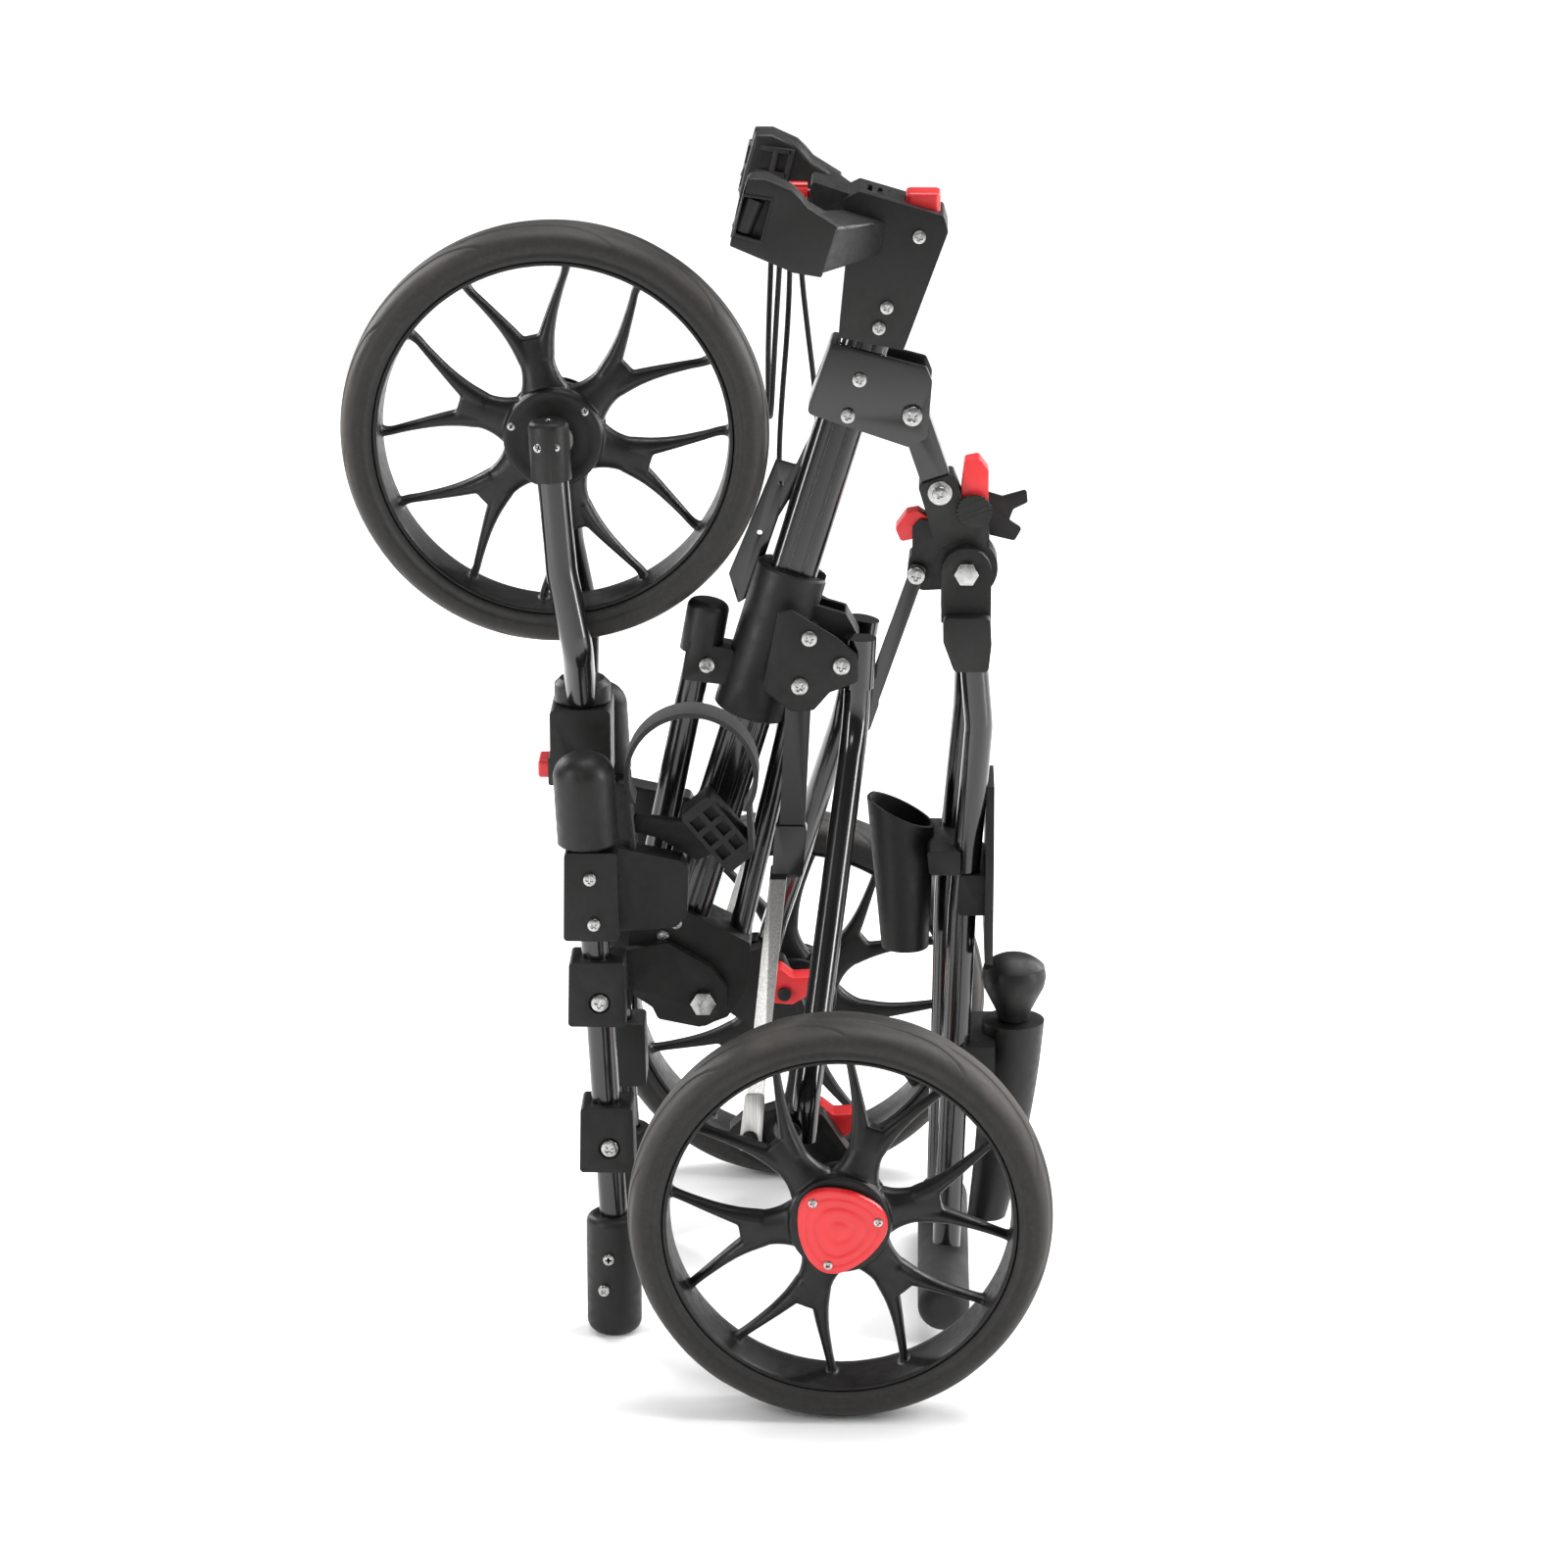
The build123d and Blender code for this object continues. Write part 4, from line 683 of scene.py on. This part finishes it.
def screw_head(verts, faces, c, n_axis, r, h, cross=0.0):
    """A domed screw head with a cross recess, built on a polar grid; n_axis is the outward direction."""
    n = Vector(n_axis).normalized()
    u = n.orthogonal().normalized(); w = n.cross(u)
    na = 32
    radii = [0.0, 0.12, 0.24, 0.36, 0.5, 0.62, 0.78, 0.9, 1.0, 1.0]
    base = len(verts)
    verts.append(tuple(Vector(c) + n * (h - 0.42 * r)))
    for i, q in enumerate(radii[1:], 1):
        for k in range(na):
            a = 2 * math.pi * k / na + cross
            dome = h * (1 - 0.42 * q ** 3) if i < 9 else 0.0
            x, y = q * math.cos(a - cross), q * math.sin(a - cross)
            arm = 0.15
            inside = (abs(x) < arm and abs(y) < 0.56) or (abs(y) < arm and abs(x) < 0.56)
            if inside and i < 6:
                dome -= 0.42 * r
            verts.append(tuple(Vector(c) + u * (q * r * math.cos(a)) + w * (q * r * math.sin(a)) + n * dome))
    for k in range(na):
        l = (k + 1) % na
        faces.append((base, base + 1 + k, base + 1 + l))
    for i in range(len(radii) - 2):
        for k in range(na):
            l = (k + 1) % na
            a0, b0 = base + 1 + i * na, base + 1 + (i + 1) * na
            faces.append((a0 + k, b0 + k, b0 + l, a0 + l))
    last = base + 1 + (len(radii) - 2) * na
    faces.append(tuple(last + k for k in reversed(range(na))))


def pick(theta, r, dr, th0):
    """Radius of the rounded three-cornered outline."""
    return r + dr * math.cos(3 * (theta - th0)) + 0.12 * dr * math.cos(6 * (theta - th0))


def cap_mesh(tag, th0=math.radians(13.0)):
    """Hub cover: rounded three-cornered plate with a chamfered edge, pressed rings and a plain round boss."""
    rows = [(0.0, 27.5), (0.17, 27.5), (0.20, 27.1), (0.30, 27.1), (0.33, 27.45), (0.52, 27.45), (0.55, 26.95), (0.60, 26.95),
            (0.63, 27.45), (0.76, 27.45), (0.785, 27.1), (0.815, 27.1), (0.84, 27.5), (0.945, 27.5), (0.985, 27.1), (1.0, 26.3),
            (1.0, 22.0), (0.7, 21.8)]
    n = 180
    verts, faces = [(0.0, 0.0, rows[0][1])], []
    for q, d in rows[1:]:
        for k in range(n):
            t = 2 * math.pi * k / n
            rr = pick(t, 30.4, 2.5 * min(1.0, 0.35 + 0.65 * q), th0) * q
            verts.append((rr * math.cos(t), rr * math.sin(t), d))
    for k in range(n):
        faces.append((0, 1 + k, 1 + (k + 1) % n))
    for i in range(len(rows) - 2):
        for k in range(n):
            l = (k + 1) % n
            a0, b0 = 1 + i * n, 1 + (i + 1) * n
            faces.append((a0 + k, b0 + k, b0 + l, a0 + l))
    last = 1 + (len(rows) - 2) * n
    faces.append(tuple(last + k for k in reversed(range(n))))
    me = bpy.data.meshes.new("cap_" + tag)
    me.from_pydata([(x * mm, y * mm, z * mm) for x, y, z in verts], [], faces)
    bm = bmesh.new(); bm.from_mesh(me); bmesh.ops.recalc_face_normals(bm, faces=bm.faces); bm.to_mesh(me); bm.free()
    return me


def screws_mesh(tag, spots, d, r, h):
    verts, faces = [], []
    for ang, rad in spots:
        t = math.radians(ang)
        screw_head(verts, faces, (rad * math.cos(t), rad * math.sin(t), d), (0, 0, 1), r, h, math.radians(ang + 20))
    me = bpy.data.meshes.new("screws_" + tag)
    me.from_pydata([(x * mm, y * mm, z * mm) for x, y, z in verts], [], faces)
    bm = bmesh.new(); bm.from_mesh(me); bmesh.ops.recalc_face_normals(bm, faces=bm.faces); bm.to_mesh(me); bm.free()
    return me


def front_disc():
    """The front hub's cover: a shallow dished disc with a rolled edge."""
    prof = [(10.0, 22.2), (24.0, 22.2), (27.5, 22.9), (31.0, 23.4), (33.6, 23.2), (34.6, 22.0), (34.4, 19.0), (10.0, 18.5)]
    v, f = ring_grid(smooth_profile(prof, 1), 150)
    me = bpy.data.meshes.new("front_disc")
    me.from_pydata([tuple(x) for x in v * mm], [], f)
    bm = bmesh.new(); bm.from_mesh(me); bmesh.ops.recalc_face_normals(bm, faces=bm.faces); bm.to_mesh(me); bm.free()
    return me


def node_centre(node):
    lo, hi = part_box(node)
    return tuple((lo + hi) / 2 / mm)


front_c = node_centre("front_tyre")
front_R = (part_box("front_tyre")[1].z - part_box("front_tyre")[0].z) / 2 / mm
front_seat = front_R - 24.0
left_c, right_c = node_centre("rear_tyre_left"), node_centre("rear_tyre_right")
rear_R = (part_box("rear_tyre_left")[1].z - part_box("rear_tyre_left")[0].z) / 2 / mm

front_w = wheel_mesh(front_seat - 3.5, front_seat, "front", 34.4, 24.0)
rear_w = front_w if abs(front_R - rear_R) < 0.1 else wheel_mesh(rear_R - 27.5, rear_R - 24.0, "rear", 35.2, 24.0)
front_t = tyre_mesh(front_R, front_seat, 50.0, "front")
rear_t = front_t if abs(front_R - rear_R) < 0.1 else tyre_mesh(rear_R, rear_R - 24.0, 50.0, "rear")
cap = cap_mesh("hub")
cap_screws = screws_mesh("cap", [(13, 27.0), (133, 27.0), (253, 27.0)], 27.3, 3.1, 1.1)
disc_screws = screws_mesh("disc", [(42, 30.2), (162, 30.2), (282, 30.2)], 23.2, 2.7, 0.9)

for tag, c, face, first, body, w_, t_ in (
        ("front", front_c, -1, 103, "front_wheel", front_w, front_t),
        ("rear_left", left_c, -1, 10, "rear_wheel_left", rear_w, rear_t),
        ("rear_right", right_c, 1, 40, "rear_wheel_right", rear_w, rear_t)):
    wn = {"front": ("front_tyre", "front_wheel"), "rear_left": ("rear_tyre_left", "rear_wheel_left"),
          "rear_right": ("rear_tyre_right", "rear_wheel_right")}[tag]
    add_mesh(tag + "_tyre_rubber", seat_on_axle(t_, c, face, first + 17), M["tyre_foam"], body, 180, (wn[0],))
    add_mesh(tag + "_wheel_moulding", seat_on_axle(w_, c, face, first), M["wheel_plastic"], body, 180, (wn[1],))
    if tag == "front":
        for f_ in (-1, 1):
            side_ = "near" if f_ < 0 else "far"
            add_mesh("front_hub_disc_" + side_, seat_on_axle(front_disc(), c, f_, 0), M["wheel_plastic"], body, 40, ())
            add_mesh("front_hub_screws_" + side_, seat_on_axle(disc_screws, c, f_, 0), M["zinc"], body, 30, ())
    else:
        add_mesh(tag + "_hub_cover", seat_on_axle(cap, c, face, 0), M["red_plastic"], body, 32,
                 ("hub_cap_left" if tag == "rear_left" else "hub_cap_right",))
        add_mesh(tag + "_hub_screws", seat_on_axle(cap_screws, c, face, 0), M["zinc"], body, 30, ())

# ------------------------------------------------------------------ shells that stand for the CAD's bodies
SKINS = {"head_bracket": 1.6, "handle_bracket": 0.7, "leg_collar": 1.2,
         "collar_plates": 0.6, "stay_knuckle": 1.4, "pivot_block": 1.6, "tube_end_caps": 0.8, "swivel_housing": 1.4,
         "frame_clamps": 1.4, "front_feet": 0.8, "lower_cradle": 1.6, "pivot_arms": 1.2, "strap_buckle": 0.8,
         "lower_strap": 0.4, "fork_crown": 0.8, "axle_fittings": 0.8, "axle_bracket_left": 1.0, "axle_bracket_right": 1.0,
         "brake_lever_left": 1.2, "brake_lever_right": 1.2, "angle_hub": 1.4, "link_arm": 0.8, "cam_lever_top": 1.2,
         "cam_lever_side": 1.2, "handle_strut": 0.7, "hub_yoke": 1.6, "cup_holder": 0.8, "console": 0.8,
         "umbrella_holder": 1.4, "umbrella_knob": 0.8, "head_button": 0.8, "cradle_knob": 0.6, "swivel_button": 0.8,
         "link_left": 0.6, "link_right": 0.6, "frame_bolts": 0.3, "front_bolts": 0.3, "link_bolts": 0.3,
         "main_beam": 0.4}
for n_, w_ in SKINS.items():
    shell = skin(n_, w_)
    if n_ == "link_bolts":
        split_off(shell, "thumb_disc", lambda c: (c.x / mm - 193) ** 2 + (c.z / mm - 590) ** 2 < 170
                  and -15.6 < c.y / mm < -12.2, M["black_plastic"])

# ------------------------------------------------------------------ upper cradle arms, pads and fixings
def plate(outline, holes, y0, y1, width, seg=3):
    """A flat plate between two Y values (mm) from XZ loops, its edges rounded, as a bmesh."""
    bm = bmesh.new()
    edges = []
    for loop in [outline] + list(holes):
        vs = [bm.verts.new((x * mm, y0 * mm, z * mm)) for x, z in loop]
        edges += [bm.edges.new((vs[i], vs[(i + 1) % len(vs)])) for i in range(len(vs))]
    bmesh.ops.triangle_fill(bm, use_beauty=True, use_dissolve=False, edges=edges)
    ext = bmesh.ops.extrude_face_region(bm, geom=list(bm.faces))
    bmesh.ops.translate(bm, verts=[g for g in ext["geom"] if isinstance(g, bmesh.types.BMVert)],
                        vec=(0, (y1 - y0) * mm, 0))
    bmesh.ops.recalc_face_normals(bm, faces=bm.faces)
    round_edges(bm, width, seg)
    return bm


def round_edges(bm, width, seg=3, angle=25.0):
    es = [e for e in bm.edges if len(e.link_faces) == 2 and e.calc_face_angle(0) > math.radians(angle)]
    bmesh.ops.bevel(bm, geom=es, offset=width * mm, offset_type="OFFSET", segments=seg, profile=0.5, affect="EDGES",
                    clamp_overlap=True, material=-1)
    bmesh.ops.recalc_face_normals(bm, faces=bm.faces)


def block(back, front, width, seg=4):
    """A closed box between two four-cornered ends ((x, z, y) points in mm, in the same order), its edges rounded."""
    bm = bmesh.new()
    a_ = [bm.verts.new((x * mm, y * mm, z * mm)) for x, z, y in back]
    b_ = [bm.verts.new((x * mm, y * mm, z * mm)) for x, z, y in front]
    bm.faces.new(a_); bm.faces.new(list(reversed(b_)))
    for k in range(4):
        bm.faces.new((a_[k], b_[k], b_[(k + 1) % 4], a_[(k + 1) % 4]))
    bmesh.ops.recalc_face_normals(bm, faces=bm.faces)
    round_edges(bm, width, seg, 15)
    return bm


def joined(name, bms, flip=False):
    """One mesh from several bmeshes; flip mirrors it across the mid plane."""
    out = bmesh.new()
    for b_ in bms:
        tmp = bpy.data.meshes.new("tmp"); b_.to_mesh(tmp); b_.free()
        out.from_mesh(tmp); bpy.data.meshes.remove(tmp)
    if flip:
        bmesh.ops.scale(out, vec=(1, -1, 1), verts=out.verts)
        bmesh.ops.reverse_faces(out, faces=out.faces)
    me = bpy.data.meshes.new(name); out.to_mesh(me); out.free()
    return me


def rod_bm(p0, p1, r, n=32, width=0.8):
    bm = bmesh.new()
    p0, p1 = Vector(p0), Vector(p1)
    d = p1 - p0
    bmesh.ops.create_cone(bm, cap_ends=True, segments=n, radius1=r * mm, radius2=r * mm, depth=d.length * mm,
                          matrix=Matrix.Translation((p0 + p1) / 2 * mm) @ d.to_track_quat("Z", "Y").to_matrix().to_4x4())
    round_edges(bm, width, 3, 50)
    return bm


def ribbon(pts, across, thick, width):
    """A rib of rectangular section along mm points; across is its half width vector, thick its half depth."""
    bm = bmesh.new()
    rings = []
    for i, p_ in enumerate(pts):
        a_ = Vector(pts[max(i - 1, 0)]); b_ = Vector(pts[min(i + 1, len(pts) - 1)])
        t_ = (b_ - a_).normalized()
        n_ = t_.cross(Vector(across).normalized()).normalized() * thick
        w_ = Vector(across)
        rings.append([bm.verts.new((Vector(p_) + s1 * w_ + s2 * n_) * mm)
                      for s1, s2 in ((-1, -1), (1, -1), (1, 1), (-1, 1))])
    for r0, r1 in zip(rings, rings[1:]):
        for k in range(4):
            bm.faces.new((r0[k], r0[(k + 1) % 4], r1[(k + 1) % 4], r1[k]))
    bm.faces.new(rings[0]); bm.faces.new(rings[-1])
    bmesh.ops.recalc_face_normals(bm, faces=bm.faces)
    round_edges(bm, width, 2, 40)
    return bm


ARM_OUT = [(37.5, 840.4), (50.0, 840.4), (67.5, 832.5), (73.6, 826.5), (78.5, 820.5), (98.5, 808.0), (87.6, 773.2),
           (68.9, 776.2), (25.6, 794.6), (29.6, 812.0)]
POCKET = [(35.4, 828.6), (53.6, 826.2), (46.4, 798.6), (29.6, 803.4)]


def grown(loop, d):
    cx = sum(p_[0] for p_ in loop) / len(loop); cz = sum(p_[1] for p_ in loop) / len(loop)
    out = []
    for x, z in loop:
        v = Vector((x - cx, z - cz)); v = v * (1 + d / v.length)
        out.append((cx + v.x, cz + v.y))
    return out


def arm_meshes(sgn):
    """One cradle arm for the left side (mirrored for the right): housing, pocket with its rim, box to the head."""
    parts_ = [plate(ARM_OUT, [POCKET], -94.8, -86.0, 1.5),
              plate(grown(ARM_OUT, -0.6), [], -88.5, -64.0, 3.2),
              plate(grown(POCKET, 2.2), [grown(POCKET, -0.2)], -95.9, -93.8, 0.7, 2),
              block([(78, 819, -93.0), (98.0, 806.5, -93.0), (87.9, 775.0, -93.0), (70, 779, -93.0)],
                    [(100, 806, -24), (131, 797, -24), (126.5, 773, -24), (92, 776, -24)], 2.4)]
    return joined("arm", parts_, sgn > 0)


def pad_meshes(sgn):
    """The arm's inner face: a lattice that curves round the tip, over a smooth rubber roller in the outer pocket."""
    h_ = Vector((0.22, 0.0, 0.975))
    curve = []
    for i in range(25):
        t = i / 24.0
        a = math.radians(90 - 78 * min(1.0, t * 1.35))
        x = 27.5 + 22.0 * (1 - math.sin(a)) + 23 * max(0.0, t - 0.5)
        y = -80.0 + 19.5 * math.cos(a)
        curve.append(Vector((x, y, 799.0)))
    bms = []
    for k, hh in enumerate((0.0, 17.0, 34.0)):
        bms.append(ribbon([tuple(c + h_ * hh - Vector((0, 0, 0.12)) * (c.x - 27)) for c in curve], tuple(h_ * 1.9), 1.5, 0.5))
    for t in (0, 8, 16, 24):
        c = curve[t]
        a_ = curve[max(t - 1, 0)]; b_ = curve[min(t + 1, 24)]
        side = (b_ - a_).normalized() * 1.9
        p0 = c - Vector((0, 0, 0.12)) * (c.x - 27)
        bms.append(ribbon([tuple(p0 - h_ * 1.5), tuple(p0 + h_ * 35.5)], tuple(side), 1.5, 0.5))
    bms.append(rod_bm((33.4, -87.4, 804.0), (42.8, -87.4, 826.0), 7.2))
    return joined("pad", bms, sgn > 0)


for tag_, sgn_ in (("left", -1), ("right", 1)):
    add_mesh("cradle_arm_" + tag_, arm_meshes(sgn_), M["black_plastic"], body_name("cradle_arms"), 30,
             ("cradle_arms",))
    add_mesh("cradle_pad_" + tag_, pad_meshes(sgn_), M["pad_rubber"], body_name("arm_pads"), 30,
             ("arm_pads",))


def fixings(node):
    """Cross-head caps over the round heads of a bolt node, on both faces of each bolt."""
    bm = bmesh.new(); bm.from_mesh(NODES[node].data)
    bmesh.ops.remove_doubles(bm, verts=bm.verts, dist=2e-6)
    mw = NODES[node].matrix_world
    bm.verts.ensure_lookup_table()
    seen = set()
    verts, faces = [], []
    k = 0
    for v in bm.verts:
        if v.index in seen:
            continue
        stack, comp = [v], []
        seen.add(v.index)
        while stack:
            a = stack.pop(); comp.append(mw @ a.co)
            for e in a.link_edges:
                b2 = e.other_vert(a)
                if b2.index not in seen:
                    seen.add(b2.index); stack.append(b2)
        ys = [c.y for c in comp]
        for out in (-1, 1):
            y_ = min(ys) if out < 0 else max(ys)
            ring = [c for c in comp if abs(c.y - y_) < 0.7 * mm]
            if len(ring) < 12:
                continue
            x0, x1 = min(c.x for c in ring), max(c.x for c in ring)
            z0, z1 = min(c.z for c in ring), max(c.z for c in ring)
            r = (x1 - x0) / 2 / mm
            if not 1.8 < r < 7.2 or abs((z1 - z0) - (x1 - x0)) > 0.4 * mm:
                continue
            k += 1
            screw_head(verts, faces, ((x0 + x1) / 2 / mm, (y_ / mm) - out * 0.15, (z0 + z1) / 2 / mm), (0, out, 0),
                       r * 0.98, 0.26 * r, 0.6 * k)
    bm.free()
    if not faces:
        return
    me = bpy.data.meshes.new(node + "_caps")
    me.from_pydata([tuple(c * mm for c in v) for v in verts], [], faces)
    bm = bmesh.new(); bm.from_mesh(me); bmesh.ops.recalc_face_normals(bm, faces=bm.faces); bm.to_mesh(me); bm.free()
    add_mesh(node + "_caps", me, M["zinc"], body_name(node), 30, ())


for n_ in ("frame_bolts", "front_bolts", "link_bolts"):
    fixings(n_)

# two screws and a cap rivet on each fork fitting
for tag_, out_ in (("left", -1), ("right", 1)):
    v_, f_ = [], []
    for x_, z_ in ((-108.0, 644.0), (-96.2, 644.6)):
        screw_head(v_, f_, (x_, out_ * 54.6, z_), (0, out_, 0), 3.1, 1.3, 0.4)
    screw_head(v_, f_, (-101.6, out_ * 43.0, 660.9), (0, 0, 1), 2.2, 0.8, 0.2)
    me_ = bpy.data.meshes.new("fork_screws_" + tag_)
    me_.from_pydata([tuple(c * mm for c in p_) for p_ in v_], [], f_)
    bm_ = bmesh.new(); bm_.from_mesh(me_); bmesh.ops.recalc_face_normals(bm_, faces=bm_.faces); bm_.to_mesh(me_); bm_.free()
    add_mesh("fork_screws_" + tag_, me_, M["zinc"], body_name("axle_fittings"), 30, ())

# ==== END PIECES ====
for n, o in NODES.items():
    if not o.hide_render:
        o.data.materials.clear()
        o.data.materials.append(material_of(n))
